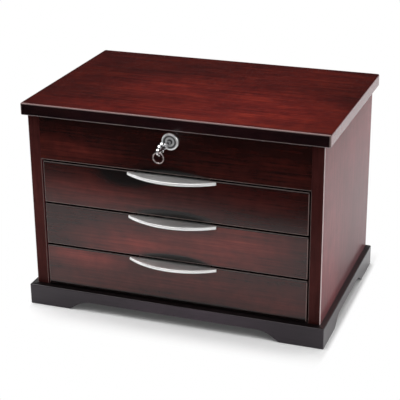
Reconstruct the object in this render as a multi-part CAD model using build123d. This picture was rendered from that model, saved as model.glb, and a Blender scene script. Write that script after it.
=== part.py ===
from build123d import *
import os
from math import cos, radians, sin

# Musical jewellery box: a black plinth, a case with three drawers, and a lid with a lock over
# a lined compartment that holds a music movement.
# Millimetres. X is to the right, Y to the back, Z up. The origin is on the table, below the
# middle of the whole object, key and winding key included.

# Case
CASE_WIDTH = 318.0
CASE_DEPTH = 209.0
PANEL = 13.0
BACK_PANEL = 10.0
CASE_EASE = 1.2
OPENING_EASE = 0.7
RAIL_HEIGHT = 47.5
TRAY_FLOOR = 4.0
TRAY_FLOOR_GAP = 0.3
DADO_DEPTH = 3.0

# Plinth
PLINTH_HEIGHT = 23.0
PLINTH_LEDGE_FRONT = 8.0
PLINTH_LEDGE_SIDE = 6.0
PLINTH_LEDGE_BACK = 2.0
PLINTH_CORNER = 1.6
PLINTH_EASE = 1.2
APRON = 16.0
BOTTOM_BOARD = 9.0
FOOT_LENGTH = 47.0
ARCH_HEIGHT = 11.0
OGEE_LENGTH = 25.0
OGEE_TURN = 19.0
OGEE_TURN_DROP = 6.8
CORNER_BLOCK = 22.0
PAD_RADIUS = 9.0
PAD_THICKNESS = 1.5
PAD_PROUD = 0.5

# Lid
LID_THICKNESS = 13.0
LID_OVERHANG_FRONT = 4.0
LID_OVERHANG_SIDE = 6.0
LID_OVERHANG_BACK = 5.0
LID_GAP = 0.3
LID_CORNER = 2.0
LID_TOP_EASE = 1.6
LID_BOTTOM_EASE = 0.9

# Drawers
DRAWER_COUNT = 3
DRAWER_FRONT_HEIGHT = 45.9
DRAWER_FRONT = 13.0
DRAWER_GAP = 2.0
DRAWER_FOOT_GAP = 1.0
DRAWER_SIDE_GAP = 1.8
DRAWER_EASE = 1.0
BOX_SIDE = 8.0
BOX_SIDE_GAP = 2.5
BOX_BACK_GAP = 9.0
BOX_ABOVE_FRONT_FOOT = 3.0
BOX_BELOW_FRONT_TOP = 8.0
BOX_BOTTOM = 3.0
BOX_BOTTOM_LIP = 3.0
BOX_BOTTOM_GROOVE = 3.0
RUNNER_HEIGHT = 8.0
RUNNER_REACH = 3.0
RUNNER_INSET = 3.0
RUNNER_BACK_GAP = 15.0
GROOVE_TOP_GAP = 0.1
GROOVE_LOW_GAP = 0.3
GROOVE_DEPTH_GAP = 0.5
GROOVE_STOP = 2.0

# Pulls
PULL_LENGTH = 96.0
PULL_DEPTH = 16.5
PULL_END = 1.6
PULL_LIP = 3.3
PULL_EASE = 1.1
PULL_DROP = 0.7
PULL_TAB_LENGTH = 80.0
PULL_TAB_DEPTH = 9.0
PULL_TAB = 2.2
PULL_TAB_GAP = 0.15
PULL_SCREW_SPACING = 56.0
PULL_SCREW_INSET = 5.0

# Lining and tray
PILE = 2.0
DRAWER_PILE = 1.5
TRAY_LINING_TOP_DROP = 9.0
LINING_NOTCH_GAP = 3.0
DIVIDER = 4.0
DIVIDER_HEIGHT = 24.0
DIVIDER_SPACING = 96.0
ROLL_WIDTH = 14.0
ROLL_HEIGHT = 15.0
ROLL_PITCH = 15.0
ROLL_COUNT = 9
ROLL_FRONT_GAP = 19.0
ROLL_END_GAP = 0.5
ROLL_CROWN = 6.6

# Lock
LOCK_DROP = 11.8
FLANGE_RADIUS = 9.0
FLANGE_PROUD = 3.0
FLANGE_EASE = 1.3
DISH_RADIUS = 6.4
DISH_DEPTH = 2.0
DISH_EASE = 0.5
BARREL_RADIUS = 6.5
BARREL_LENGTH = 20.0
PLUG_RADIUS = 5.0
PLUG_HEAD_RADIUS = 6.2
PLUG_HEAD = 1.5
PLUG_HEAD_GAP = 0.1
PLUG_TAIL = 5.6
NUT_FLATS = 17.0
NUT_THICKNESS = 4.0
RUNNING_FIT = 0.05
FIXED_FIT = 0.05
CAM_GAP = 0.3
CAM_THICKNESS = 1.5
CAM_HUB_RADIUS = 6.0
CAM_ARM_WIDTH = 6.0
CAM_ARM_ANGLE = -57.0
HOOK_INNER = 14.0
HOOK_OUTER = 17.0
HOOK_TAIL_ANGLE = -65.0
HOOK_TIP_ANGLE = 10.0
CAM_SCREW_HEAD_RADIUS = 4.0
CAM_SCREW_HEAD = 1.5
CAM_SCREW_EASE = 0.5
CAM_SCREW_RADIUS = 1.5
CAM_SCREW_LENGTH = 6.0
STRIKE_LEFT = -11.0
STRIKE_RIGHT = 22.0
STRIKE_DEPTH = 12.0
STRIKE_THICKNESS = 1.2
STRIKE_CORNER = 2.0
STRIKE_SLOT_WIDTH = 3.4
STRIKE_SLOT_GAP = 0.55
STRIKE_SCREW_INSET = 3.5
HOOK_POCKET_GAP = 0.6
HOOK_POCKET_WIDTH = 4.0

# Key
KEY_SHANK_RADIUS = 1.85
KEY_INSERTED = 16.0
KEY_FIT = 0.1
KEY_BIT_LENGTH = 8.0
KEY_BIT_TIP_GAP = 1.0
KEY_BIT_REACH = 3.6
KEY_BIT = 1.2
KEY_BIT_GAP = 0.15
KEY_BIT_END_GAP = 0.3
KEYHOLE_SPARE = 2.0
KEY_NECK = 19.0
KEY_COLLAR_RADIUS = 2.7
KEY_COLLAR = 1.4
KEY_COLLAR_EASE = 0.45
BOW_LENGTH = 18.0
BOW_THICKNESS = 2.0
NEAR_LOBE_OUT = 4.3
NEAR_LOBE_SPREAD = 2.9
NEAR_LOBE_RADIUS = 3.3
FAR_LOBE_OUT = 10.6
FAR_LOBE_SPREAD = 2.2
FAR_LOBE_RADIUS = 3.5
END_LOBE_RADIUS = 3.2
LOBE_HOLE_RADIUS = 1.35
EYE_RADIUS = 1.2
EYE_INSET = 2.7
RING_RADIUS = 5.5
RING_WIRE = 0.5
RING_SEAT_GAP = 0.15

# Hinges
HINGE_LENGTH = 38.0
HINGE_SPACING = 190.0
HINGE_OUT = 0.75
KNUCKLE_RADIUS = 2.5
KNUCKLE_COUNT = 5
KNUCKLE_GAP = 0.2
HINGE_PIN_RADIUS = 1.0
LEAF = 1.2
LEAF_REACH = 9.0
BARREL_POCKET_GAP = 0.3
HINGE_END_GAP = 0.4
LEAF_SCREW_INSET = 6.0
LEAF_SCREW_SPACING = 24.0

# Wood screws
SCREW_HEAD_RADIUS = 2.2
SCREW_RADIUS = 1.1
SCREW_HEAD = 1.0
SCREW_LENGTH = 8.0
SCREW_SLOT = 0.6
SCREW_SLOT_DEPTH = 0.4

# Mirror
MIRROR_FRAME_WIDTH = 262.0
MIRROR_FRONT_INSET = 34.0
MIRROR_BACK_INSET = 34.0
MIRROR_RAIL = 14.0
MIRROR_FRAME = 6.0
MIRROR_GLASS = 3.0
MIRROR_REBATE = 3.0
MIRROR_EASE = 1.5

# Music movement, with its bedplate upright on the back panel
COVER_LENGTH = 66.0
COVER_DEPTH = 30.0
COVER_WALL = 2.0
COVER_LID_GAP = 2.3
BEDPLATE_LENGTH = 50.0
BEDPLATE_HEIGHT = 37.0
BEDPLATE = 2.5
BEDPLATE_SIDE_GAP = 8.0
BEDPLATE_FLOOR_GAP = 1.5
POST = 1.5
POST_HEIGHT = 8.0
POST_REACH = 11.0
POST_LEFT = 2.0
POST_RIGHT = 33.0
CYLINDER_RADIUS = 6.5
CYLINDER_LEFT = 5.0
CYLINDER_LENGTH = 22.0
CYLINDER_HEIGHT = 27.0
CYLINDER_OUT = 8.0
CYLINDER_ARBOR = 1.0
CYLINDER_PIN_RADIUS = 0.25
CYLINDER_PIN_PROUD = 0.4
CYLINDER_PIN_SUNK = 0.6
TUNE_START = 30.0
TUNE_REPEAT = 155.0
TUNE_STEP = 7
PINION_RADIUS = 7.5
PINION_WIDTH = 1.6
PINION_LEFT = 30.2
PINION_TEETH = 20
PINION_TOOTH = 0.8
COMB_TEETH = 18
COMB_PITCH = 1.2
COMB_SLOT = 0.3
COMB_PLATE = 1.0
COMB_GAP = 0.5
COMB_FOOT = 2.0
COMB_BASE_TOP = 9.0
COMB_SCREW_LEFT = 9.0
COMB_SCREW_SPACING = 13.0
COMB_SCREW_RADIUS = 1.0
COMB_SCREW_HEAD_RADIUS = 2.0
COMB_SCREW_HEAD = 1.0
HOUSING_RADIUS = 10.5
HOUSING_ACROSS = 38.5
HOUSING_HEIGHT = 11.5
HOUSING_LENGTH = 8.0
HOUSING_GAP = 1.0
HOUSING_EASE = 1.0
ARBOR_RADIUS = 2.0
ARBOR_HEAD_RADIUS = 3.2
ARBOR_HEAD = 1.0
ARBOR_HEAD_GAP = 0.2
ARBOR_PANEL_GAP = 2.5
GOVERNOR_ACROSS = 42.0
GOVERNOR_LOW_ARM = 23.0
GOVERNOR_HIGH_ARM = 35.0
GOVERNOR_ARM_HALF = 3.0
GOVERNOR_PIVOT = 0.6
WORM_RADIUS = 1.6
WORM_LENGTH = 5.0
FAN_SPAN = 9.0
FAN_HEIGHT = 3.2
FAN_BLADE = 0.5
PLUNGER_ACROSS = 47.5
PLUNGER_OUT = 14.0
PLUNGER_FOOT = 30.0
PLUNGER_RADIUS = 1.0
PLUNGER_EASE = 0.5
PLUNGER_COLLAR = 1.0
PLUNGER_GUIDE_GAP = 0.3
PLUNGER_COLLAR_RADIUS = 2.2
PLUNGER_COLLAR_DROP = 4.5
PLUNGER_LID_GAP = 0.3
MOVEMENT_SCREW_RADIUS = 1.4
MOVEMENT_SCREW_HEAD_RADIUS = 3.0
MOVEMENT_SCREW_HEAD = 1.6
MOVEMENT_SCREW_EASE = 0.8
MOVEMENT_SCREWS = [(3.5, 34.0), (46.5, 34.0), (24.0, 22.0)]

# Winding key on the back
WINDING_GAP = 1.0
WINDING_STEM_RADIUS = 3.5
WINDING_STEM = 7.0
WING_SPREAD = 6.5
WING_RADIUS = 5.0
WING_HOLE_RADIUS = 1.7
WING_THICKNESS = 2.4
WING_EASE = 0.8
WINDING_REACH = 16.0

# How far a cutting shape runs past a face, and a joining one into its neighbour
OVERRUN = 1.0

# Places worked out from the sizes
inner_half = CASE_WIDTH / 2 - PANEL
case_half = CASE_WIDTH / 2
key_reach = KEY_NECK + BOW_LENGTH
front = -(CASE_DEPTH + WINDING_REACH - key_reach) / 2
back = front + CASE_DEPTH
back_inner = back - BACK_PANEL
rail_back = front + PANEL
opening_top = PLINTH_HEIGHT + DRAWER_FOOT_GAP + DRAWER_COUNT * (DRAWER_FRONT_HEIGHT + DRAWER_GAP)
case_top = opening_top + RAIL_HEIGHT
lid_bottom = case_top + LID_GAP
tray_low = opening_top + TRAY_FLOOR_GAP
tray_top = tray_low + TRAY_FLOOR
pile_top = tray_top + PILE
lock_z = case_top - LOCK_DROP
hinge_y = back + HINGE_OUT
hinge_z = (case_top + lid_bottom) / 2
cover_left = inner_half - COVER_LENGTH
cover_front = back_inner - COVER_DEPTH
cover_top = lid_bottom - COVER_LID_GAP
bed_left = cover_left + BEDPLATE_SIDE_GAP
bed_low = tray_top + BEDPLATE_FLOOR_GAP
bed_face = back_inner - BEDPLATE


def block(x0, x1, y0, y1, z0, z1):
    """A box between two opposite corners."""
    return Pos((x0 + x1) / 2, (y0 + y1) / 2, (z0 + z1) / 2) * Box(x1 - x0, y1 - y0, z1 - z0)


def rod_x(radius, x0, x1, y, z):
    """A round bar along X."""
    return Pos((x0 + x1) / 2, y, z) * Rot(0, 90, 0) * Cylinder(radius, x1 - x0)


def rod_y(radius, x, y0, y1, z):
    """A round bar along Y."""
    return Pos(x, (y0 + y1) / 2, z) * Rot(90, 0, 0) * Cylinder(radius, y1 - y0)


def rod_z(radius, x, y, z0, z1):
    """A round bar along Z."""
    return Pos(x, y, (z0 + z1) / 2) * Cylinder(radius, z1 - z0)


def group(*pieces):
    """Separate solids that share one node."""
    return Compound([solid for piece in pieces for solid in piece.solids()])


def countersunk(fit=0.0):
    """A wood screw that points down, with the top of its head at the origin."""
    head = Pos(0, 0, -SCREW_HEAD / 2) * Cone(SCREW_RADIUS + fit, SCREW_HEAD_RADIUS + fit, SCREW_HEAD)
    return head + rod_z(SCREW_RADIUS + fit, 0, 0, -SCREW_LENGTH, -SCREW_HEAD)


def slotted_screw():
    """The wood screw with its driver slot."""
    reach = SCREW_HEAD_RADIUS
    half = SCREW_SLOT / 2
    return countersunk() - block(-reach, reach, -half, half, -SCREW_SLOT_DEPTH, OVERRUN)


# Plinth

plinth_half = case_half + PLINTH_LEDGE_SIDE
plinth_front = front - PLINTH_LEDGE_FRONT
plinth_back = back + PLINTH_LEDGE_BACK
plinth_depth = plinth_back - plinth_front
plinth_middle = (plinth_front + plinth_back) / 2


def arch_outline(half_span):
    """The cut-out between two feet, with an ogee at each end."""
    flat = half_span - OGEE_LENGTH
    turn = (flat + OGEE_TURN, ARCH_HEIGHT - OGEE_TURN_DROP)
    crown = TangentArc((flat, ARCH_HEIGHT), turn, tangent=(1, 0))
    toe = TangentArc(turn, (half_span, PAD_PROUD), tangent=crown % 1)
    right = crown + toe
    left = mirror(right, about=Plane.YZ)
    top = Line((-flat, ARCH_HEIGHT), (flat, ARCH_HEIGHT))
    below = -ARCH_HEIGHT
    foot = Polyline((half_span, PAD_PROUD), (half_span, below), (-half_span, below), (-half_span, PAD_PROUD))
    return make_face((right + left + top + foot).edges())


def plinth_ring():
    """All four aprons in one, before the corners are mitred."""
    plan = Pos(0, plinth_middle, PAD_PROUD) * RectangleRounded(2 * plinth_half, plinth_depth, PLINTH_CORNER)
    ring = extrude(plan, PLINTH_HEIGHT - PAD_PROUD)
    ring = fillet(ring.edges().group_by(Axis.Z)[-1], PLINTH_EASE)
    half = plinth_half - APRON
    top = PLINTH_HEIGHT + OVERRUN
    ring -= block(-half, half, plinth_front + APRON, plinth_back - APRON, -OVERRUN, top)
    ring -= extrude(Plane.XZ * arch_outline(plinth_half - FOOT_LENGTH), 2 * plinth_depth, both=True)
    side_arch = Plane.YZ * arch_outline(plinth_depth / 2 - FOOT_LENGTH)
    ring -= Pos(0, plinth_middle, 0) * extrude(side_arch, 2 * plinth_half, both=True)
    return ring


def mitre_prism(corner_x, corner_y, inner_x, inner_y, along_x):
    """The wedge of the ring that one apron takes, past its outer corners and its inner ones."""
    if along_x:
        points = [(-corner_x, corner_y), (corner_x, corner_y), (inner_x, inner_y), (-inner_x, inner_y)]
    else:
        low, high = corner_y
        inner_low, inner_high = inner_y
        points = [(corner_x, low), (corner_x, high), (inner_x, inner_high), (inner_x, inner_low)]
    plan = Pos(0, 0, -OVERRUN) * Polygon(*points, align=None)
    return extrude(plan, PLINTH_HEIGHT + 2 * OVERRUN, dir=(0, 0, 1))


def plinth_aprons():
    """Front, back, left and right aprons."""
    ring = plinth_ring()
    wide = plinth_half + OVERRUN
    thin = plinth_half - APRON - OVERRUN
    low, high = plinth_front - OVERRUN, plinth_back + OVERRUN
    inner_low, inner_high = plinth_front + APRON + OVERRUN, plinth_back - APRON - OVERRUN
    front_apron = ring & mitre_prism(wide, low, thin, inner_low, True)
    back_apron = ring & mitre_prism(wide, high, thin, inner_high, True)
    left_apron = ring & mitre_prism(-wide, (low, high), -thin, (inner_low, inner_high), False)
    right_apron = ring & mitre_prism(wide, (low, high), thin, (inner_low, inner_high), False)
    return front_apron, back_apron, left_apron, right_apron


def bottom_board():
    half = plinth_half - APRON
    low = PLINTH_HEIGHT - BOTTOM_BOARD
    return block(-half, half, plinth_front + APRON, plinth_back - APRON, low, PLINTH_HEIGHT)


def corner_places():
    """Middle of each corner block."""
    x = plinth_half - APRON - CORNER_BLOCK / 2
    y_front = plinth_front + APRON + CORNER_BLOCK / 2
    y_back = plinth_back - APRON - CORNER_BLOCK / 2
    return [(side * x, y) for side in (-1, 1) for y in (y_front, y_back)]


def corner_blocks():
    half = CORNER_BLOCK / 2
    top = PLINTH_HEIGHT - BOTTOM_BOARD
    low = PAD_THICKNESS
    return group(*[block(x - half, x + half, y - half, y + half, low, top) for x, y in corner_places()])


def foot_pads():
    return group(*[rod_z(PAD_RADIUS, x, y, 0, PAD_THICKNESS) for x, y in corner_places()])


# Case


def side_panel(side):
    """Side is -1 for the left panel and 1 for the right one."""
    low, high = sorted((side * inner_half, side * case_half))
    panel = block(low, high, front, back, PLINTH_HEIGHT, case_top)
    uprights = panel.edges().filter_by(Axis.Z)
    outer = uprights.group_by(Axis.X)[-1 if side > 0 else 0]
    panel = fillet(outer, CASE_EASE)
    front_edges = panel.edges().filter_by(Axis.Z).group_by(Axis.Y)[0]
    inner_edge = front_edges.sort_by(Axis.X)[0 if side > 0 else -1]
    panel = fillet(inner_edge, OPENING_EASE)
    dado_low, dado_high = sorted((side * inner_half, side * (inner_half + DADO_DEPTH)))
    return panel - block(dado_low, dado_high, rail_back, back_inner, tray_low, tray_top)


def lock_rail():
    rail = block(-inner_half, inner_half, front, rail_back, opening_top, case_top)
    low_front = rail.edges().filter_by(Axis.X).group_by(Axis.Y)[0].sort_by(Axis.Z)[0]
    rail = fillet(low_front, OPENING_EASE)
    return rail - rod_y(BARREL_RADIUS + FIXED_FIT, 0, front, rail_back, lock_z)


def back_panel():
    panel = block(-inner_half, inner_half, back_inner, back, PLINTH_HEIGHT, case_top)
    panel -= rod_y(ARBOR_RADIUS + ARBOR_PANEL_GAP, arbor_x, back_inner, back, arbor_z)
    for across, rise in MOVEMENT_SCREWS:
        radius = MOVEMENT_SCREW_RADIUS + FIXED_FIT
        panel -= rod_y(radius, bed_left + across, back_inner, back, bed_low + rise)
    for x in hinge_places():
        panel -= case_hinge_pocket(x)
        for place in leaf_screw_places(x):
            panel -= Pos(*place, case_top) * countersunk(FIXED_FIT)
    return panel


def tray_floor():
    half = inner_half + DADO_DEPTH
    return block(-half, half, rail_back, back_inner, tray_low, tray_top)


# Hinges


def hinge_places():
    return [-HINGE_SPACING / 2, HINGE_SPACING / 2]


def leaf_screw_places(x):
    """The two screws of one leaf."""
    y = hinge_y - LEAF_SCREW_INSET
    return [(x - LEAF_SCREW_SPACING / 2, y), (x + LEAF_SCREW_SPACING / 2, y)]


def knuckle_span(x, number):
    """Where one knuckle starts and ends along the pin."""
    pitch = HINGE_LENGTH / KNUCKLE_COUNT
    low = x - HINGE_LENGTH / 2 + number * pitch
    return low + KNUCKLE_GAP / 2, low + pitch - KNUCKLE_GAP / 2


def hinge_leaf(x, low, high, numbers):
    """One leaf between two heights, with its own knuckles on the pin's line."""
    half = HINGE_LENGTH / 2
    near = hinge_y - KNUCKLE_RADIUS - BARREL_POCKET_GAP
    leaf = block(x - half, x + half, back - LEAF_REACH, near, low, high)
    for number in numbers:
        start, end = knuckle_span(x, number)
        leaf += block(start, end, near - OVERRUN, hinge_y, low, high)
        leaf += rod_x(KNUCKLE_RADIUS, start, end, hinge_y, hinge_z)
    return leaf - rod_x(HINGE_PIN_RADIUS + RUNNING_FIT, x - half, x + half, hinge_y, hinge_z)


def hinge_case_leaf(x):
    leaf = hinge_leaf(x, case_top - LEAF, case_top, range(0, KNUCKLE_COUNT, 2))
    for place in leaf_screw_places(x):
        leaf -= Pos(*place, case_top) * countersunk(FIXED_FIT)
    return leaf


def hinge_lid_leaf(x):
    leaf = hinge_leaf(x, lid_bottom, lid_bottom + LEAF, range(1, KNUCKLE_COUNT, 2))
    for place in leaf_screw_places(x):
        leaf -= Pos(*place, lid_bottom) * Rot(180, 0, 0) * countersunk(FIXED_FIT)
    return leaf


def case_hinge_pocket(x):
    """Room in the back panel's top edge for a leaf and the barrel."""
    half = HINGE_LENGTH / 2 + HINGE_END_GAP
    reach = KNUCKLE_RADIUS + BARREL_POCKET_GAP
    leaf_room = block(x - half, x + half, back - LEAF_REACH, back, case_top - LEAF, case_top)
    return leaf_room + block(x - half, x + half, hinge_y - reach, back, hinge_z - reach, case_top)


def lid_hinge_pocket(x):
    """Room in the lid for a leaf and the barrel, open at the lid's rear edge."""
    half = HINGE_LENGTH / 2 + HINGE_END_GAP
    reach = KNUCKLE_RADIUS + BARREL_POCKET_GAP
    rear = back + LID_OVERHANG_BACK
    leaf_room = block(x - half, x + half, back - LEAF_REACH, back, lid_bottom, lid_bottom + LEAF)
    return leaf_room + block(x - half, x + half, hinge_y - reach, rear, lid_bottom, hinge_z + reach)


def hinge_pins():
    half = HINGE_LENGTH / 2
    return group(*[rod_x(HINGE_PIN_RADIUS, x - half, x + half, hinge_y, hinge_z) for x in hinge_places()])


def hinge_case_screws():
    places = [place for x in hinge_places() for place in leaf_screw_places(x)]
    return group(*[Pos(*place, case_top) * slotted_screw() for place in places])


# Lid

cam_y = front + BARREL_LENGTH + CAM_GAP + CAM_THICKNESS / 2
strike_top_rise = lid_bottom - lock_z
strike_low_rise = strike_top_rise - STRIKE_THICKNESS
slot_left = (HOOK_INNER ** 2 - strike_top_rise ** 2) ** 0.5 - STRIKE_SLOT_GAP
slot_right = (HOOK_OUTER ** 2 - strike_low_rise ** 2) ** 0.5 + STRIKE_SLOT_GAP


def strike_screw_places():
    return [(STRIKE_LEFT + STRIKE_SCREW_INSET, cam_y), (STRIKE_RIGHT - STRIKE_SCREW_INSET, cam_y)]


def lid_screw_places():
    """Place and height of each screw head on the lid's underside."""
    leaf_places = [(*place, lid_bottom) for x in hinge_places() for place in leaf_screw_places(x)]
    strike_places = [(*place, lid_bottom - STRIKE_THICKNESS) for place in strike_screw_places()]
    return leaf_places + strike_places


def lid_panel():
    low, high = front - LID_OVERHANG_FRONT, back + LID_OVERHANG_BACK
    width = CASE_WIDTH + 2 * LID_OVERHANG_SIDE
    plan = Pos(0, (low + high) / 2, lid_bottom) * RectangleRounded(width, high - low, LID_CORNER)
    panel = extrude(plan, LID_THICKNESS)
    panel = fillet(panel.edges().group_by(Axis.Z)[-1], LID_TOP_EASE)
    panel = fillet(panel.edges().group_by(Axis.Z)[0], LID_BOTTOM_EASE)
    for x in hinge_places():
        panel -= lid_hinge_pocket(x)
    for place in lid_screw_places():
        panel -= Pos(*place) * Rot(180, 0, 0) * countersunk(FIXED_FIT)
    half = HOOK_POCKET_WIDTH / 2
    tip = HOOK_INNER * sin(radians(HOOK_TIP_ANGLE)) + HOOK_POCKET_GAP
    top = lock_z + HOOK_OUTER + HOOK_POCKET_GAP
    return panel - block(-tip, slot_right, cam_y - half, cam_y + half, lid_bottom, top)


def lid_screws():
    return group(*[Pos(*place) * Rot(180, 0, 0) * slotted_screw() for place in lid_screw_places()])


def strike_plate():
    half = STRIKE_DEPTH / 2
    low = lid_bottom - STRIKE_THICKNESS
    plate = block(STRIKE_LEFT, STRIKE_RIGHT, cam_y - half, cam_y + half, low, lid_bottom)
    plate = fillet(plate.edges().filter_by(Axis.Z), STRIKE_CORNER)
    slot = STRIKE_SLOT_WIDTH / 2
    plate -= block(slot_left, slot_right, cam_y - slot, cam_y + slot, low, lid_bottom)
    for place in strike_screw_places():
        plate -= Pos(*place, low) * Rot(180, 0, 0) * countersunk(FIXED_FIT)
    return plate


mirror_front = front + MIRROR_FRONT_INSET
mirror_back = back_inner - MIRROR_BACK_INSET


def mirror_block(inset, z0, z1):
    """A flat block inside the mirror frame's outline by an inset."""
    half = MIRROR_FRAME_WIDTH / 2 - inset
    return block(-half, half, mirror_front + inset, mirror_back - inset, z0, z1)


def mirror_frame():
    low = lid_bottom - MIRROR_FRAME
    frame = mirror_block(0, low, lid_bottom)
    frame = fillet(frame.edges().group_by(Axis.Z)[0], MIRROR_EASE)
    frame -= mirror_block(MIRROR_RAIL, low, lid_bottom)
    return frame - mirror_block(MIRROR_RAIL - MIRROR_REBATE, lid_bottom - MIRROR_GLASS, lid_bottom)


def mirror_glass():
    return mirror_block(MIRROR_RAIL - MIRROR_REBATE, lid_bottom - MIRROR_GLASS, lid_bottom)


# Lock and key


def lock_housing():
    dish_floor = front - FLANGE_PROUD + DISH_DEPTH
    flange = rod_y(FLANGE_RADIUS, 0, front - FLANGE_PROUD, front, lock_z)
    flange = fillet(flange.edges().group_by(Axis.Y)[0], FLANGE_EASE)
    flange -= rod_y(DISH_RADIUS, 0, front - FLANGE_PROUD, dish_floor, lock_z)
    rim = flange.edges().filter_by(GeomType.CIRCLE).group_by(Axis.Y)[0].sort_by(SortBy.RADIUS)[0]
    flange = fillet(rim, DISH_EASE)
    housing = flange + rod_y(BARREL_RADIUS, 0, front, front + BARREL_LENGTH, lock_z)
    return housing - rod_y(PLUG_RADIUS + RUNNING_FIT, 0, dish_floor, front + BARREL_LENGTH, lock_z)


def lock_nut():
    hexagon = Plane.XZ * RegularPolygon(NUT_FLATS / 2, 6, major_radius=False)
    nut = Pos(0, rail_back, lock_z) * extrude(hexagon, NUT_THICKNESS, dir=(0, 1, 0))
    return nut - rod_y(BARREL_RADIUS + FIXED_FIT, 0, rail_back, rail_back + NUT_THICKNESS, lock_z)


plug_shoulder = front - FLANGE_PROUD + DISH_DEPTH - PLUG_HEAD_GAP
plug_face = plug_shoulder - PLUG_HEAD
plug_end = front + BARREL_LENGTH + CAM_GAP
key_tip = plug_face + KEY_INSERTED


def lock_plug():
    """The turning core, with its keyhole and the square tail that drives the cam."""
    plug = rod_y(PLUG_HEAD_RADIUS, 0, plug_face, plug_shoulder, lock_z)
    plug += rod_y(PLUG_RADIUS, 0, plug_shoulder, plug_end, lock_z)
    half = PLUG_TAIL / 2
    plug += block(-half, half, plug_end, plug_end + CAM_THICKNESS, lock_z - half, lock_z + half)
    plug -= rod_y(KEY_SHANK_RADIUS + KEY_FIT, 0, plug_face, key_tip + KEYHOLE_SPARE, lock_z)
    slot = KEY_BIT / 2 + KEY_BIT_GAP
    slot_low = lock_z - KEY_BIT_REACH - KEY_BIT_END_GAP
    plug -= block(-slot, slot, plug_face, key_tip, slot_low, lock_z)
    screw_start = plug_end + CAM_THICKNESS - CAM_SCREW_LENGTH
    screw_room = CAM_SCREW_RADIUS + FIXED_FIT
    return plug - rod_y(screw_room, 0, screw_start, plug_end + CAM_THICKNESS, lock_z)


def wedge(start, end, reach):
    """A flat wedge from the middle, between two angles under half a turn apart."""
    middle = (start + end) / 2
    angles = [start, middle, end]
    return Polygon((0, 0), *[(reach * cos(radians(a)), reach * sin(radians(a))) for a in angles], align=None)


def lock_cam():
    """A hook round the lock's middle, on an arm from the hub."""
    arc = Circle(HOOK_OUTER) - Circle(HOOK_INNER)
    arc &= wedge(HOOK_TAIL_ANGLE, HOOK_TIP_ANGLE, 2 * HOOK_OUTER)
    arm_length = (HOOK_INNER + HOOK_OUTER) / 2
    arm = Rot(0, 0, CAM_ARM_ANGLE) * Pos(arm_length / 2, 0) * Rectangle(arm_length, CAM_ARM_WIDTH)
    outline = Circle(CAM_HUB_RADIUS) + arm + arc
    tail = PLUG_TAIL + 2 * FIXED_FIT
    outline -= Rectangle(tail, tail)
    cam = extrude(Plane.XZ * outline, CAM_THICKNESS / 2, both=True)
    return Pos(0, cam_y, lock_z) * cam


def cam_screw():
    start = plug_end + CAM_THICKNESS
    head = rod_y(CAM_SCREW_HEAD_RADIUS, 0, start, start + CAM_SCREW_HEAD, lock_z)
    head = fillet(head.edges().group_by(Axis.Y)[-1], CAM_SCREW_EASE)
    return head + rod_y(CAM_SCREW_RADIUS, 0, start - CAM_SCREW_LENGTH, start, lock_z)


bow_start = front - KEY_NECK
eye_y = bow_start - BOW_LENGTH + EYE_INSET


def bow_disc(out, rise, radius):
    """A round outline on the key's bow, out from where the bow starts."""
    return Pos(bow_start - out, lock_z + rise) * Circle(radius)


def key():
    """A shank with a bit on its tip, two collars and a pierced bow with an eye at its end."""
    shank = rod_y(KEY_SHANK_RADIUS, 0, bow_start - NEAR_LOBE_OUT, key_tip, lock_z)
    bit_end = key_tip - KEY_BIT_TIP_GAP
    half = KEY_BIT / 2
    bit = block(-half, half, bit_end - KEY_BIT_LENGTH, bit_end, lock_z - KEY_BIT_REACH, lock_z)
    collars = rod_y(KEY_COLLAR_RADIUS, 0, bow_start, bow_start + KEY_COLLAR, lock_z)
    second = bow_start + 2 * KEY_COLLAR
    collars += rod_y(KEY_COLLAR_RADIUS, 0, second, second + KEY_COLLAR, lock_z)
    collars = fillet(collars.edges().filter_by(GeomType.CIRCLE), KEY_COLLAR_EASE)
    end_out = BOW_LENGTH - END_LOBE_RADIUS
    outline = bow_disc(end_out, 0, END_LOBE_RADIUS)
    outline += bow_disc(end_out / 2, 0, KEY_SHANK_RADIUS)
    for rise in (-1, 1):
        outline += bow_disc(NEAR_LOBE_OUT, rise * NEAR_LOBE_SPREAD, NEAR_LOBE_RADIUS)
        outline += bow_disc(FAR_LOBE_OUT, rise * FAR_LOBE_SPREAD, FAR_LOBE_RADIUS)
    for rise in (-1, 1):
        outline -= bow_disc(NEAR_LOBE_OUT, rise * NEAR_LOBE_SPREAD, LOBE_HOLE_RADIUS)
        outline -= bow_disc(FAR_LOBE_OUT, rise * FAR_LOBE_SPREAD, LOBE_HOLE_RADIUS)
    outline -= Pos(eye_y, lock_z) * Circle(EYE_RADIUS)
    bow = extrude(Plane.YZ * outline, BOW_THICKNESS / 2, both=True)
    return shank + bit + collars + bow


ring_top = lock_z - EYE_RADIUS + RING_SEAT_GAP + RING_WIRE


def key_ring():
    return Pos(0, eye_y, ring_top - RING_RADIUS) * Rot(90, 0, 0) * Torus(RING_RADIUS, RING_WIRE)


# Drawers

drawer_front_half = inner_half - DRAWER_SIDE_GAP
box_half = inner_half - BOX_SIDE_GAP
box_start = front + DRAWER_FRONT
box_end = back_inner - BOX_BACK_GAP


def drawer_foot(number):
    """Height of a drawer front's lower edge. Drawer 1 is the top one."""
    return PLINTH_HEIGHT + DRAWER_FOOT_GAP + (DRAWER_COUNT - number) * (DRAWER_FRONT_HEIGHT + DRAWER_GAP)


def box_low(number):
    return drawer_foot(number) + BOX_ABOVE_FRONT_FOOT


def box_top(number):
    return drawer_foot(number) + DRAWER_FRONT_HEIGHT - BOX_BELOW_FRONT_TOP


def runner_low(number):
    return (box_low(number) + box_top(number) - RUNNER_HEIGHT) / 2


def pull_top(number):
    return drawer_foot(number) + DRAWER_FRONT_HEIGHT - PULL_DROP


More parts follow.
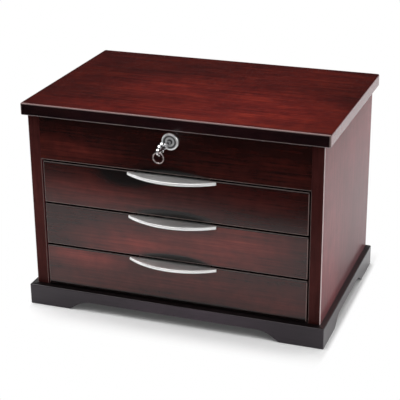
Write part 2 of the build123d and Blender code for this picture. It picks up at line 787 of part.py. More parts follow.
def pull_screw_places(number):
    y = front + PULL_SCREW_INSET
    half = PULL_SCREW_SPACING / 2
    return [(-half, y, pull_top(number)), (half, y, pull_top(number))]


def drawer_front(number):
    low = drawer_foot(number)
    top = low + DRAWER_FRONT_HEIGHT
    panel = block(-drawer_front_half, drawer_front_half, front, front + DRAWER_FRONT, low, top)
    panel = fillet(panel.edges().group_by(Axis.Y)[0], DRAWER_EASE)
    half = PULL_TAB_LENGTH / 2 + PULL_TAB_GAP
    rear = front + PULL_TAB_DEPTH + PULL_TAB_GAP
    panel -= block(-half, half, front, rear, pull_top(number) - PULL_TAB, top)
    for place in pull_screw_places(number):
        panel -= Pos(*place) * countersunk(FIXED_FIT)
    return panel


def drawer_pull(number):
    """A crescent plate that stands out of the front, with a tab let into the front's top edge."""
    half = PULL_LENGTH / 2
    bow = ThreePointArc((-half, -PULL_END), (0, -PULL_DEPTH), (half, -PULL_END))
    straight = Polyline((half, -PULL_END), (half, 0), (-half, 0), (-half, -PULL_END))
    plate = extrude(make_face((bow + straight).edges()), PULL_LIP, dir=(0, 0, -1))
    plate = fillet(plate.edges().filter_by(GeomType.CIRCLE), PULL_EASE)
    plate = Pos(0, front, pull_top(number)) * plate
    tab_half = PULL_TAB_LENGTH / 2
    tab_low = pull_top(number) - PULL_TAB
    plate += block(-tab_half, tab_half, front, front + PULL_TAB_DEPTH, tab_low, pull_top(number))
    for place in pull_screw_places(number):
        plate -= Pos(*place) * countersunk(FIXED_FIT)
    return plate


def pull_screws(number):
    return group(*[Pos(*place) * slotted_screw() for place in pull_screw_places(number)])


def box_bottom_low(number):
    return box_low(number) + BOX_BOTTOM_LIP


def drawer_box(number):
    """Two sides, grooved for the runners and the bottom, and a back between them."""
    low, top = box_low(number), box_top(number)
    slot_low = runner_low(number) - GROOVE_LOW_GAP
    slot_top = runner_low(number) + RUNNER_HEIGHT + GROOVE_TOP_GAP
    slot_reach = RUNNER_REACH + GROOVE_DEPTH_GAP
    bottom_low = box_bottom_low(number)
    inner = box_half - BOX_SIDE
    sides = []
    for side in (-1, 1):
        x0, x1 = sorted((side * inner, side * box_half))
        board = block(x0, x1, box_start, box_end, low, top)
        x0, x1 = sorted((side * (box_half - slot_reach), side * box_half))
        board -= block(x0, x1, box_start + GROOVE_STOP, box_end, slot_low, slot_top)
        x0, x1 = sorted((side * inner, side * (inner + BOX_BOTTOM_GROOVE)))
        board -= block(x0, x1, box_start, box_end, bottom_low, bottom_low + BOX_BOTTOM)
        sides.append(board)
    rear = block(-inner, inner, box_end - BOX_SIDE, box_end, bottom_low + BOX_BOTTOM, top)
    return group(*sides, rear)


def drawer_bottom(number):
    half = box_half - BOX_SIDE + BOX_BOTTOM_GROOVE
    low = box_bottom_low(number)
    return block(-half, half, box_start, box_end, low, low + BOX_BOTTOM)


def lining(x0, x1, y0, y1, z0, z1, pile):
    """A floor pad and four wall strips that stand on it."""
    floor = block(x0, x1, y0, y1, z0, z0 + pile)
    low = z0 + pile
    left = block(x0, x0 + pile, y0, y1, low, z1)
    right = block(x1 - pile, x1, y0, y1, low, z1)
    near = block(x0 + pile, x1 - pile, y0, y0 + pile, low, z1)
    far = block(x0 + pile, x1 - pile, y1 - pile, y1, low, z1)
    return [floor, left, right, near, far]


def drawer_lining(number):
    half = box_half - BOX_SIDE
    low = box_bottom_low(number) + BOX_BOTTOM
    top = box_top(number) - DRAWER_PILE
    return group(*lining(-half, half, box_start, box_end - BOX_SIDE, low, top, DRAWER_PILE))


def drawer_runners():
    """A strip on each side panel for each drawer."""
    reach = box_half - RUNNER_REACH
    start = box_start + RUNNER_INSET
    end = back_inner - RUNNER_BACK_GAP
    strips = []
    for number in range(1, DRAWER_COUNT + 1):
        low = runner_low(number)
        for side in (-1, 1):
            x0, x1 = sorted((side * reach, side * inner_half))
            strips.append(block(x0, x1, start, end, low, low + RUNNER_HEIGHT))
    return group(*strips)


# Lined compartment under the lid


def tray_lining():
    """Floor and walls, with room for the movement's cover and for the lock's nut."""
    top = case_top - TRAY_LINING_TOP_DROP
    cover_room = block(cover_left, inner_half, cover_front, back_inner, tray_top, case_top)
    notch = NUT_FLATS / 2 + LINING_NOTCH_GAP
    nut_room = block(-notch, notch, rail_back, rail_back + PILE, lock_z - notch, case_top)
    pads = lining(-inner_half, inner_half, rail_back, back_inner, tray_top, top, PILE)
    return group(*[pad - cover_room - nut_room for pad in pads])


def tray_dividers():
    """Two long dividers, and a short one across each outer space."""
    half = DIVIDER_SPACING / 2
    wall = inner_half - PILE
    start, end = rail_back + PILE, back_inner - PILE
    top = pile_top + DIVIDER_HEIGHT
    thick = DIVIDER / 2
    boards = [block(x - thick, x + thick, start, end, pile_top, top) for x in (-half, half)]
    middle = (start + end) / 2
    boards.append(block(-wall, -half - thick, middle - thick, middle + thick, pile_top, top))
    boards.append(block(half + thick, wall, middle - thick, middle + thick, pile_top, top))
    return group(*boards)


def ring_rolls():
    """Padded rolls side by side, with round tops."""
    half = (DIVIDER_SPACING - DIVIDER) / 2 - ROLL_END_GAP
    rolls = []
    for number in range(ROLL_COUNT):
        start = rail_back + ROLL_FRONT_GAP + number * ROLL_PITCH
        roll = block(-half, half, start, start + ROLL_WIDTH, pile_top, pile_top + ROLL_HEIGHT)
        crown = roll.edges().filter_by(Axis.X).group_by(Axis.Z)[-1]
        rolls.append(fillet(crown, ROLL_CROWN))
    return group(*rolls)


# Music movement

arbor_x = bed_left + HOUSING_ACROSS
arbor_z = bed_low + HOUSING_HEIGHT
cylinder_y = bed_face - CYLINDER_OUT
cylinder_z = bed_low + CYLINDER_HEIGHT
governor_x = bed_left + GOVERNOR_ACROSS
plunger_x = bed_left + PLUNGER_ACROSS
plunger_y = bed_face - PLUNGER_OUT


def movement_cover():
    """A front, a left end and a top that close off the corner of the compartment."""
    cover = block(cover_left, inner_half, cover_front, back_inner, tray_top, cover_top)
    inner_front = cover_front + COVER_WALL
    inner_top = cover_top - COVER_WALL
    cover -= block(cover_left + COVER_WALL, inner_half, inner_front, back_inner, tray_top, inner_top)
    guide = PLUNGER_RADIUS + PLUNGER_GUIDE_GAP
    return cover - rod_z(guide, plunger_x, plunger_y, inner_top, cover_top)


def movement_bedplate():
    """The plate, two posts for the cylinder and two arms for the governor."""
    right, top = bed_left + BEDPLATE_LENGTH, bed_low + BEDPLATE_HEIGHT
    plate = block(bed_left, right, bed_face, back_inner, bed_low, top)
    for across in (POST_LEFT, POST_RIGHT):
        x = bed_left + across
        low = cylinder_z - POST_HEIGHT / 2
        plate += block(x, x + POST, bed_face - POST_REACH, bed_face, low, low + POST_HEIGHT)
    for rise in (GOVERNOR_LOW_ARM, GOVERNOR_HIGH_ARM):
        low = bed_low + rise
        x0, x1 = governor_x - GOVERNOR_ARM_HALF, governor_x + GOVERNOR_ARM_HALF
        plate += block(x0, x1, bed_face - POST_REACH, bed_face, low, low + POST)
    plate -= rod_x(CYLINDER_ARBOR + RUNNING_FIT, bed_left, right, cylinder_y, cylinder_z)
    pivot = GOVERNOR_PIVOT + RUNNING_FIT
    arm_low, arm_top = bed_low + GOVERNOR_LOW_ARM, bed_low + GOVERNOR_HIGH_ARM + POST
    plate -= rod_z(pivot, governor_x, cylinder_y, arm_low, arm_top)
    plate -= rod_y(ARBOR_RADIUS + RUNNING_FIT, arbor_x, bed_face, back_inner, arbor_z)
    for across, rise in MOVEMENT_SCREWS:
        radius = MOVEMENT_SCREW_RADIUS + FIXED_FIT
        plate -= rod_y(radius, bed_left + across, bed_face, back_inner, bed_low + rise)
    return plate


comb_top = cylinder_z - CYLINDER_RADIUS - COMB_GAP
comb_left = bed_left + CYLINDER_LEFT
comb_front = cylinder_y - COMB_PLATE
comb_screw_xs = [bed_left + COMB_SCREW_LEFT, bed_left + COMB_SCREW_LEFT + COMB_SCREW_SPACING]


def tuned_comb():
    """A thick base on the bedplate, and a thin plate cut into teeth under the cylinder."""
    right = comb_left + COMB_TEETH * COMB_PITCH
    low = bed_low + COMB_FOOT
    base_top = bed_low + COMB_BASE_TOP
    comb = block(comb_left, right, cylinder_y, bed_face, low, base_top)
    comb += block(comb_left, right, comb_front, cylinder_y, low, comb_top)
    for number in range(1, COMB_TEETH):
        x = comb_left + number * COMB_PITCH
        comb -= block(x - COMB_SLOT / 2, x + COMB_SLOT / 2, comb_front, cylinder_y, base_top, comb_top)
    for x in comb_screw_xs:
        comb -= rod_y(COMB_SCREW_RADIUS + FIXED_FIT, x, comb_front, bed_face, (low + base_top) / 2)
    return comb


def movement_screws():
    """Three screws through the back panel, and two through the comb."""
    screws = []
    for across, rise in MOVEMENT_SCREWS:
        x, z = bed_left + across, bed_low + rise
        head = rod_y(MOVEMENT_SCREW_HEAD_RADIUS, x, back, back + MOVEMENT_SCREW_HEAD, z)
        head = fillet(head.edges().group_by(Axis.Y)[-1], MOVEMENT_SCREW_EASE)
        screws.append(head + rod_y(MOVEMENT_SCREW_RADIUS, x, bed_face, back, z))
    z = bed_low + (COMB_FOOT + COMB_BASE_TOP) / 2
    for x in comb_screw_xs:
        head = rod_y(COMB_SCREW_HEAD_RADIUS, x, comb_front - COMB_SCREW_HEAD, comb_front, z)
        screws.append(head + rod_y(COMB_SCREW_RADIUS, x, comb_front, bed_face, z))
    return group(*screws)


def spring_housing():
    """The round housing that the mainspring turns."""
    low = bed_face - HOUSING_GAP - HOUSING_LENGTH
    drum = rod_y(HOUSING_RADIUS, arbor_x, low, bed_face - HOUSING_GAP, arbor_z)
    drum = fillet(drum.edges().group_by(Axis.Y)[0], HOUSING_EASE)
    return drum - rod_y(ARBOR_RADIUS + RUNNING_FIT, arbor_x, low, bed_face - HOUSING_GAP, arbor_z)


def winding_arbor():
    """From in front of the spring housing, out through the back panel, into the winding key."""
    head_end = bed_face - HOUSING_GAP - HOUSING_LENGTH - ARBOR_HEAD_GAP
    arbor = rod_y(ARBOR_RADIUS, arbor_x, head_end, back + WINDING_GAP + WINDING_STEM, arbor_z)
    return arbor + rod_y(ARBOR_HEAD_RADIUS, arbor_x, head_end - ARBOR_HEAD, head_end, arbor_z)


def winding_key():
    """A round stem that takes the arbor, with two wings."""
    start = back + WINDING_GAP
    stem_end = start + WINDING_STEM
    middle = back + WINDING_REACH - WING_RADIUS
    outline = Rectangle(2 * WING_SPREAD, WING_RADIUS)
    for side in (-1, 1):
        outline += Pos(side * WING_SPREAD, 0) * Circle(WING_RADIUS)
        outline -= Pos(side * WING_SPREAD, 0) * Circle(WING_HOLE_RADIUS)
    wings = extrude(Pos(arbor_x, middle, arbor_z) * outline, WING_THICKNESS / 2, both=True)
    stem = rod_y(WINDING_STEM_RADIUS, arbor_x, start, middle, arbor_z)
    stem = fillet(stem.edges().group_by(Axis.Y)[0], WING_EASE)
    return stem + wings - rod_y(ARBOR_RADIUS, arbor_x, start, stem_end, arbor_z)


def pinned_cylinder():
    """The brass cylinder with its arbor, its gear, and pins on a slanting row for each tooth."""
    left = bed_left + CYLINDER_LEFT
    body = rod_x(CYLINDER_RADIUS, left, left + CYLINDER_LENGTH, cylinder_y, cylinder_z)
    arbor_end = bed_left + POST_RIGHT + POST
    body += rod_x(CYLINDER_ARBOR, bed_left + POST_LEFT, arbor_end, cylinder_y, cylinder_z)
    gear_left = bed_left + PINION_LEFT
    root = PINION_RADIUS - PINION_TOOTH
    body += rod_x(root, gear_left, gear_left + PINION_WIDTH, cylinder_y, cylinder_z)
    for tooth in range(PINION_TEETH):
        half = PINION_TOOTH / 2
        bar = block(0, PINION_WIDTH, -half, half, root - OVERRUN, PINION_RADIUS)
        body += Pos(gear_left, cylinder_y, cylinder_z) * Rot(tooth * 360 / PINION_TEETH, 0, 0) * bar
    start, end = CYLINDER_RADIUS - CYLINDER_PIN_SUNK, CYLINDER_RADIUS + CYLINDER_PIN_PROUD
    for tooth in range(COMB_TEETH):
        x = comb_left + (tooth + 0.5) * COMB_PITCH
        for turn in (0, 1):
            angle = (tooth * TUNE_STEP % COMB_TEETH) * 360 / COMB_TEETH + turn * TUNE_REPEAT + TUNE_START
            pin = Rot(angle, 0, 0) * rod_z(CYLINDER_PIN_RADIUS, 0, 0, start, end)
            body += Pos(x, cylinder_y, cylinder_z) * pin
    return body


def governor_fan():
    """An upright arbor with a worm and a two-bladed fan that brakes the movement."""
    low, top = bed_low + GOVERNOR_LOW_ARM, bed_low + GOVERNOR_HIGH_ARM + POST
    fan = rod_z(GOVERNOR_PIVOT, governor_x, cylinder_y, low, top)
    worm_low = low + POST + RUNNING_FIT
    fan += rod_z(WORM_RADIUS, governor_x, cylinder_y, worm_low, worm_low + WORM_LENGTH)
    blade_low = worm_low + WORM_LENGTH
    x0, x1 = governor_x - FAN_SPAN / 2, governor_x + FAN_SPAN / 2
    y0, y1 = cylinder_y - FAN_BLADE / 2, cylinder_y + FAN_BLADE / 2
    return fan + block(x0, x1, y0, y1, blade_low, blade_low + FAN_HEIGHT)


def stop_plunger():
    """The rod that the lid holds down, with a collar inside the cover."""
    rod = rod_z(PLUNGER_RADIUS, plunger_x, plunger_y, bed_low + PLUNGER_FOOT, lid_bottom - PLUNGER_LID_GAP)
    rod = fillet(rod.edges().group_by(Axis.Z)[-1], PLUNGER_EASE)
    collar_top = cover_top - COVER_WALL - PLUNGER_COLLAR_DROP
    collar_low = collar_top - PLUNGER_COLLAR
    return rod + rod_z(PLUNGER_COLLAR_RADIUS, plunger_x, plunger_y, collar_low, collar_top)


# Nodes

front_apron, back_apron, left_apron, right_apron = plinth_aprons()
nodes = {
    "plinth_front_apron": front_apron,
    "plinth_back_apron": back_apron,
    "plinth_side_aprons": group(left_apron, right_apron),
    "bottom_board": bottom_board(),
    "corner_blocks": corner_blocks(),
    "foot_pads": foot_pads(),
    "left_side_panel": side_panel(-1),
    "right_side_panel": side_panel(1),
    "back_panel": back_panel(),
    "lock_rail": lock_rail(),
    "tray_floor": tray_floor(),
    "drawer_runners": drawer_runners(),
    "tray_lining": tray_lining(),
    "tray_dividers": tray_dividers(),
    "ring_rolls": ring_rolls(),
    "movement_cover": movement_cover(),
    "movement_bedplate": movement_bedplate(),
    "tuned_comb": tuned_comb(),
    "movement_screws": movement_screws(),
    "hinge_case_leaves": group(*[hinge_case_leaf(x) for x in hinge_places()]),
    "hinge_case_screws": hinge_case_screws(),
    "hinge_pins": hinge_pins(),
    "lock_housing": lock_housing(),
    "lock_nut": lock_nut(),
    "spring_housing": spring_housing(),
    "winding_arbor": winding_arbor(),
    "winding_key": winding_key(),
    "pinned_cylinder": pinned_cylinder(),
    "governor_fan": governor_fan(),
    "stop_plunger": stop_plunger(),
    "lid_panel": lid_panel(),
    "hinge_lid_leaves": group(*[hinge_lid_leaf(x) for x in hinge_places()]),
    "lid_screws": lid_screws(),
    "strike_plate": strike_plate(),
    "mirror_frame": mirror_frame(),
    "mirror_glass": mirror_glass(),
    "lock_plug": lock_plug(),
    "lock_cam": lock_cam(),
    "cam_screw": cam_screw(),
    "key": key(),
    "key_ring": key_ring(),
}
for number in range(1, DRAWER_COUNT + 1):
    nodes[f"drawer_{number}_front"] = drawer_front(number)
    nodes[f"drawer_{number}_box"] = drawer_box(number)
    nodes[f"drawer_{number}_bottom"] = drawer_bottom(number)
    nodes[f"drawer_{number}_lining"] = drawer_lining(number)
    nodes[f"drawer_{number}_pull"] = drawer_pull(number)
    nodes[f"drawer_{number}_pull_screws"] = pull_screws(number)

os.makedirs("parts", exist_ok=True)
for name, shape in nodes.items():
    export_step(shape, f"parts/{name}.step")
print(len(nodes), "nodes written")
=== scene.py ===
import bmesh
import bpy
from math import cos, pi, radians, sin
from mathutils import Matrix, Vector, noise


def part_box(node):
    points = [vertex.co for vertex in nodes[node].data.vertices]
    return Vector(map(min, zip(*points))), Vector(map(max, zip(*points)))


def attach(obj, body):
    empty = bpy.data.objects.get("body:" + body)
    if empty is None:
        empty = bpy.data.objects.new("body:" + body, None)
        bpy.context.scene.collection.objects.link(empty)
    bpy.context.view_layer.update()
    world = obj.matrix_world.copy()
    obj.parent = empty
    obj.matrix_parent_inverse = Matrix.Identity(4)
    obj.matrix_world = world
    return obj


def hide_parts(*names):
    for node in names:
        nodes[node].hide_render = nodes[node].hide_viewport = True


# A musical jewellery box: lacquered wood, satin pulls, a lock with its key, velvet inside.
# Metres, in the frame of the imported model.

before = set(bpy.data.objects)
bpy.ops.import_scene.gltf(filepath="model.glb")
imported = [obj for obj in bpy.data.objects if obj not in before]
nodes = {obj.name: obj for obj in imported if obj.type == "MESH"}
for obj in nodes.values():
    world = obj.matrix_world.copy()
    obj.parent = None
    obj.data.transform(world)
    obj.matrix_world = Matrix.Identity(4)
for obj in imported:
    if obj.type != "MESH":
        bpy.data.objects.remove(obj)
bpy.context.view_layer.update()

# Camera, from a fit of the box's corners in the photograph, for a 400 x 400 picture
FOCAL_PIXELS = 1238.317
PICTURE = 400
AZIMUTH = 19.937
ELEVATION = 22.128
ROLL = -0.568
DISTANCE = 1.365433
TARGET = (0, 0.011, 0.11)
TARGET_RIGHT = -0.007033
TARGET_UP = -0.009841
SENSOR = 36

# Stage
TABLE_REACH = 8.0
TABLE_FRONT = -0.383
TABLE_TURN = -4.5
TABLE_WHITE = (0.006, 0.045)
TABLE_HAZE = 0.06
TABLE_SIDE_STRETCH = 6

# World, by the height of a direction: walls and ceiling, and the white band that gloss sees
WALL_LIGHT = 0.025
CEILING_LIGHT = 0.9
CEILING_RISE = (0.5, 0.95)
HORIZON_RISE = (-0.2, -0.12)
HORIZON_FALL = (0.03, 0.08)

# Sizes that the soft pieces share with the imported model
DRAWERS = (1, 2, 3)
DRAWER_PILE = 0.0015
TRAY_PILE = 0.002
DIVIDER = 0.004
DIVIDER_PLACE = 0.048
ROLLS = 9
ROLL_PITCH = 0.015
ROLL_WIDTH = 0.014
COVER_WALL = 0.002
PLUNGER_HOLE = 0.0013
PLUNGER_CUT = 0.02
EYELET_WIRE = 0.0006
NUT_ROOM = 0.0115
PAD_RADIUS = 0.009

# The most of a block's half size that its round edge may take
EASE_LIMIT = 0.98

# Lacquer: shares of figure, streaks, bands and dapple, and where the three stains lie on their sum
GRAIN_SHARES = (0.24, 0.42, 0.14, 0.2)
STAIN_PLACES = (0.39, 0.5, 0.63)
LEAST_PATCH = 0.02
# How much of the painted reflection on faces that look right covers the wood
RIGHT_REFLECTION_SHARE = 0.85
# The painted shade along the top of a face, next to the gap above it
GAP_SHADE_COLOUR = (0.006, 0.002, 0.002)

# Lacquer: a face looks along an axis, an edge is eased, and it looks up or down, between these shares
# of its normal, which place the painted shade, highlights and reflection
FACING = (0.75, 0.97)
EASED = (0.985, 0.93)
FRONTAL = (-0.1, -0.25)
LIFTED = (0.1, 0.25)
LOWERED = (-0.1, -0.25)
RIM_ROUGHNESS = 0.7
RIM_FADE = 0.004
GAP_SHADE_FADE = 0.0004
CORNER_HIGHLIGHT_FADE = 0.001

# Reach of the radial painted shade on the lock's round faces
RING_SHADE_REACH = 0.01

# A padded roll: faces around and along, how its ends round off, draw in and crease, its folds, the
# room it leaves, and how square and how flat below its section is
ROLL_AROUND = 28
ROLL_ALONG = 44
ROLL_CAP = 0.004
ROLL_DRAW = 0.07
ROLL_DRAW_REACH = 0.014
ROLL_CREASE = 0.0005
ROLL_CREASE_REACH = 0.01
ROLL_CREASES = 9
ROLL_FOLD = 0.00035
ROLL_ROOM = 0.0004
ROLL_SQUARE = (0.62, 0.8)
ROLL_FLAT = 1.25

# Area lights: name, place, aim, size and power
SOFT_BOXES = (
    ("overhead", (-0.35, 0.2, 1.45), (-0.1, 0.05, 0), (1.9, 1.5), 30),
    ("left", (-1.3, -0.15, 0.5), (0, 0, 0.15), (0.9, 0.8), 4),
    ("right", (1.3, -0.5, 0.8), (0, 0, 0.1), (0.8, 0.8), 6),
)


def make_camera():
    azimuth, elevation, roll = radians(AZIMUTH), radians(ELEVATION), radians(ROLL)
    back = Vector((sin(azimuth) * cos(elevation), -cos(azimuth) * cos(elevation), sin(elevation)))
    right = Vector((cos(azimuth), sin(azimuth), 0))
    up = back.cross(right)
    place = Vector(TARGET) + back * DISTANCE + right * TARGET_RIGHT + up * TARGET_UP
    across = right * cos(roll) + up * sin(roll)
    upward = up * cos(roll) - right * sin(roll)
    data = bpy.data.cameras.new("camera")
    data.sensor_width = SENSOR
    data.lens = FOCAL_PIXELS / PICTURE * SENSOR
    data.clip_start = 0.05
    data.clip_end = 50
    camera = bpy.data.objects.new("camera", data)
    camera.matrix_world = Matrix.Translation(place) @ Matrix((across, upward, back)).transposed().to_4x4()
    bpy.context.scene.collection.objects.link(camera)
    bpy.context.scene.camera = camera


class Nodes:
    """A node tree whose nodes are made and joined by short calls. Values are outputs or numbers."""

    def __init__(self, tree):
        self.tree = tree
        self.tree.nodes.clear()

    def join(self, source, out, target, into):
        self.tree.links.new(source.outputs[out], target.inputs[into])

    def give(self, node, *parts):
        """Sets a node's inputs in order, each from an output or to a value."""
        for number, part in enumerate(parts):
            if isinstance(part, bpy.types.NodeSocket):
                self.tree.links.new(part, node.inputs[number])
            else:
                node.inputs[number].default_value = part

    def sums(self, kind, first, second):
        """A sum of two numbers."""
        node = self.tree.nodes.new("ShaderNodeMath")
        node.operation = kind
        self.give(node, first, second)
        return node.outputs["Value"]

    def vectors(self, kind, *parts):
        """A sum of vectors, or the length of one."""
        node = self.tree.nodes.new("ShaderNodeVectorMath")
        node.operation = kind
        self.give(node, *parts)
        return node.outputs["Value" if kind == "LENGTH" else "Vector"]

    def step(self, value, start, end, low=0.0, high=1.0):
        """Low at the start and high at the end, smooth between."""
        if start > end:
            start, end, low, high = end, start, high, low
        node = self.tree.nodes.new("ShaderNodeMapRange")
        node.interpolation_type = "SMOOTHSTEP"
        for name, part in (("From Min", start), ("From Max", end), ("To Min", low), ("To Max", high)):
            node.inputs[name].default_value = part
        self.tree.links.new(value, node.inputs["Value"])
        return node.outputs["Result"]


class Shader(Nodes):
    """A material with one Principled shader."""

    def __init__(self, name):
        self.material = bpy.data.materials.new(name)
        self.material.use_nodes = True
        super().__init__(self.material.node_tree)
        self.output = self.tree.nodes.new("ShaderNodeOutputMaterial")
        self.surface = self.tree.nodes.new("ShaderNodeBsdfPrincipled")
        self.join(self.surface, "BSDF", self.output, "Surface")
        self.places = self.tree.nodes.new("ShaderNodeTexCoord")

    def set(self, **values):
        """Values on the shader's own sockets, with _ for a space."""
        for name, value in values.items():
            self.surface.inputs[name.replace("_", " ")].default_value = value

    def grains(self, scale, detail=4.0, rough=0.55, warp=0.0, at=(0, 0, 0)):
        """Noise over the piece, with its own scale along X, Y and Z."""
        mapping = self.tree.nodes.new("ShaderNodeMapping")
        mapping.inputs["Scale"].default_value = scale
        mapping.inputs["Location"].default_value = at
        self.join(self.places, "Object", mapping, "Vector")
        texture = self.tree.nodes.new("ShaderNodeTexNoise")
        texture.inputs["Scale"].default_value = 1.0
        texture.inputs["Detail"].default_value = detail
        texture.inputs["Roughness"].default_value = rough
        texture.inputs["Distortion"].default_value = warp
        self.join(mapping, "Vector", texture, "Vector")
        return texture.outputs["Fac"]

    def ramp(self, source, *stops):
        """Colours from (place, value) pairs, where a value is a grey or a colour."""
        ramp = self.tree.nodes.new("ShaderNodeValToRGB")
        line = ramp.color_ramp
        while len(line.elements) < len(stops):
            line.elements.new(0.5)
        for element, (place, value) in zip(line.elements, stops):
            element.position = place
            colour = (value,) * 3 if isinstance(value, (int, float)) else value
            element.color = (*colour, 1)
        self.tree.links.new(source, ramp.inputs["Fac"])
        return ramp.outputs["Color"]

    def between(self, value, low, high):
        """A number from low to high, as the value goes from 0 to 1."""
        node = self.tree.nodes.new("ShaderNodeMapRange")
        node.inputs["To Min"].default_value = low
        node.inputs["To Max"].default_value = high
        self.tree.links.new(value, node.inputs["Value"])
        return node.outputs["Result"]

    def mix(self, factor, first, second, blend="MIX"):
        """A mix of two colours or colour outputs."""
        node = self.tree.nodes.new("ShaderNodeMix")
        node.data_type = "RGBA"
        node.blend_type = blend
        for into, part in ((0, factor), (6, first), (7, second)):
            if isinstance(part, (int, float)):
                node.inputs[into].default_value = part
            elif isinstance(part, tuple):
                node.inputs[into].default_value = (*part, 1)
            else:
                self.tree.links.new(part, node.inputs[into])
        return node.outputs[2]

    def patch(self, place, reach, gain):
        """The gain at a place, falling to nothing at its reach along X, Y and Z."""
        mapping = self.tree.nodes.new("ShaderNodeMapping")
        mapping.inputs["Scale"].default_value = tuple(1 / part for part in reach)
        mapping.inputs["Location"].default_value = tuple(-spot / part for spot, part in zip(place, reach))
        self.join(self.places, "Object", mapping, "Vector")
        length = self.vectors("LENGTH", mapping.outputs["Vector"])
        return self.sums("MULTIPLY", self.step(length, 1.0, 0.0), gain)

    def feed(self, output, into):
        self.tree.links.new(output, self.surface.inputs[into])

    def bump(self, output, strength, distance):
        bump = self.tree.nodes.new("ShaderNodeBump")
        bump.inputs["Strength"].default_value = strength
        bump.inputs["Distance"].default_value = distance
        self.tree.links.new(output, bump.inputs["Height"])
        self.join(bump, "Normal", self.surface, "Normal")


def along(axis, with_grain, across):
    """A scale that is long along one axis."""
    return tuple(with_grain if number == axis else across for number in range(3))


def lacquered(name, axis, dark, middle, bright, at=(0, 0, 0), ior=1.45, rough=0.16, fine=420, facing_shades=None,
              patches=None, rim_shading=None, rim_top=None, band=None, corner=None, sheen=None, right=None):
    """Lacquered wood whose grain runs along an axis: soft figure, streaks, bands, dapple and pores.

    Facing_shades are painted shade: colours that multiply the faces square to an axis, or those that look
    left. Right is a painted reflection: the colour of the faces that look right. Patches are a low value and
    places where the colour is lighter or darker: (place, reach, gain), and those with a negative gain are
    painted shade. Rim_shading holds painted highlights and painted shade, the colours of the eased edges
    that face the front: those that look up, level and down. Rim_top is the height above which level ones
    are plain. Band, given with rim_shading, is the height above which the face is almost black, a painted
    shade. Corner is a painted highlight, the colour of level edges beyond a place along X: (place, colour).
    Sheen is its weight, roughness and tint."""
    shader = Shader(name)
    figure = shader.grains(along(axis, 12, 28), detail=4, rough=0.55, warp=0.4, at=at)
    streaks = shader.grains(along(axis, 16, fine), detail=4, rough=0.62, warp=0.1, at=at)
    bands = shader.grains(along(axis, 7, fine * 0.3), detail=3, rough=0.5, warp=0.1, at=at)
    pores = shader.grains(along(axis, 55, 1500), detail=2, rough=0.5, at=at)
    dapple = shader.grains((85, 85, 85), detail=3, rough=0.6, at=at)
    blend = 0.0
    for part, share in zip((figure, streaks, bands, dapple), GRAIN_SHARES):
        blend = shader.sums("ADD", blend, shader.sums("MULTIPLY", part, share))
    stain = shader.ramp(blend, *zip(STAIN_PLACES, (dark, middle, bright)))
    colour = shader.mix(0.6, stain, shader.ramp(pores, (0.30, 0.55), (0.42, 1.0)), "MULTIPLY")
    normal = shader.tree.nodes.new("ShaderNodeSeparateXYZ")
    shader.join(shader.places, "Normal", normal, "Vector")
    sides = {part: shader.sums("ABSOLUTE", normal.outputs[part], 0) for part in "XYZ"}
    sides["left"] = shader.sums("MULTIPLY", normal.outputs["X"], -1)
    # Lighter and darker patches, each material's own mix of stain and painted light; the negative gains are
    # painted shade.
    if patches is not None:
        value, spots = patches
        for place, reach, gain in spots:
            value = shader.sums("ADD", value, shader.patch(place, reach, gain))
        colour = shader.mix(1.0, colour, shader.sums("MAXIMUM", value, LEAST_PATCH), "MULTIPLY")
    # Painted shade: faces that look along an axis, or look left, are made darker.
    for part, tint in (facing_shades or {}).items():
        face_shaded = shader.mix(1.0, colour, tint, "MULTIPLY")
        colour = shader.mix(shader.step(sides[part], *FACING), colour, face_shaded)
    # Painted reflection: faces that look right take a pale colour.
    if right is not None:
        facing = shader.step(normal.outputs["X"], *FACING)
        colour = shader.mix(shader.sums("MULTIPLY", facing, RIGHT_REFLECTION_SHARE), colour, right)
    smudge = shader.grains((14, 14, 14), detail=4, rough=0.6, at=at)
    dull = shader.between(smudge, rough * 0.8, rough * 1.3)
    # Painted highlights and painted shade on the eased edges that face the front.
    if rim_shading is not None:
        up, level, down = rim_shading
        square = shader.sums("MAXIMUM", shader.sums("MAXIMUM", sides["X"], sides["Y"]), sides["Z"])
        eased = shader.sums("MULTIPLY", shader.step(square, *EASED),
                            shader.step(normal.outputs["Y"], *FRONTAL))
        above = shader.step(normal.outputs["Z"], *LIFTED)
        below = shader.step(normal.outputs["Z"], *LOWERED)
        plain = eased
        places = shader.tree.nodes.new("ShaderNodeSeparateXYZ")
        shader.join(shader.places, "Object", places, "Vector")
        if rim_top is not None:
            plain = shader.sums("MULTIPLY", eased,
                                shader.step(places.outputs["Z"], rim_top, rim_top - RIM_FADE))
        colour = shader.mix(plain, colour, level)
        # A painted highlight on the level eased edges beyond a place along X.
        if corner is not None:
            place, pale = corner
            beyond = shader.step(places.outputs["X"], place - CORNER_HIGHLIGHT_FADE, place)
            colour = shader.mix(shader.sums("MULTIPLY", eased, beyond), colour, pale)
        # Painted shade: the face is almost black above the given height, next to the gap above it.
        if band is not None:
            top = shader.step(places.outputs["Z"], band - GAP_SHADE_FADE, band + GAP_SHADE_FADE)
            colour = shader.mix(top, colour, GAP_SHADE_COLOUR)
        colour = shader.mix(shader.sums("MULTIPLY", eased, above), colour, up)
        colour = shader.mix(shader.sums("MULTIPLY", eased, below), colour, down)
        dull = shader.sums("MAXIMUM", dull, shader.sums("MULTIPLY", eased, RIM_ROUGHNESS))
    shader.feed(colour, "Base Color")
    shader.feed(dull, "Roughness")
    shader.set(IOR=ior)
    if sheen is not None:
        weight, blur, tint = sheen
        shader.set(Sheen_Weight=weight, Sheen_Roughness=blur, Sheen_Tint=(*tint, 1))
    shader.bump(pores, 0.05, 0.0001)
    return shader.material


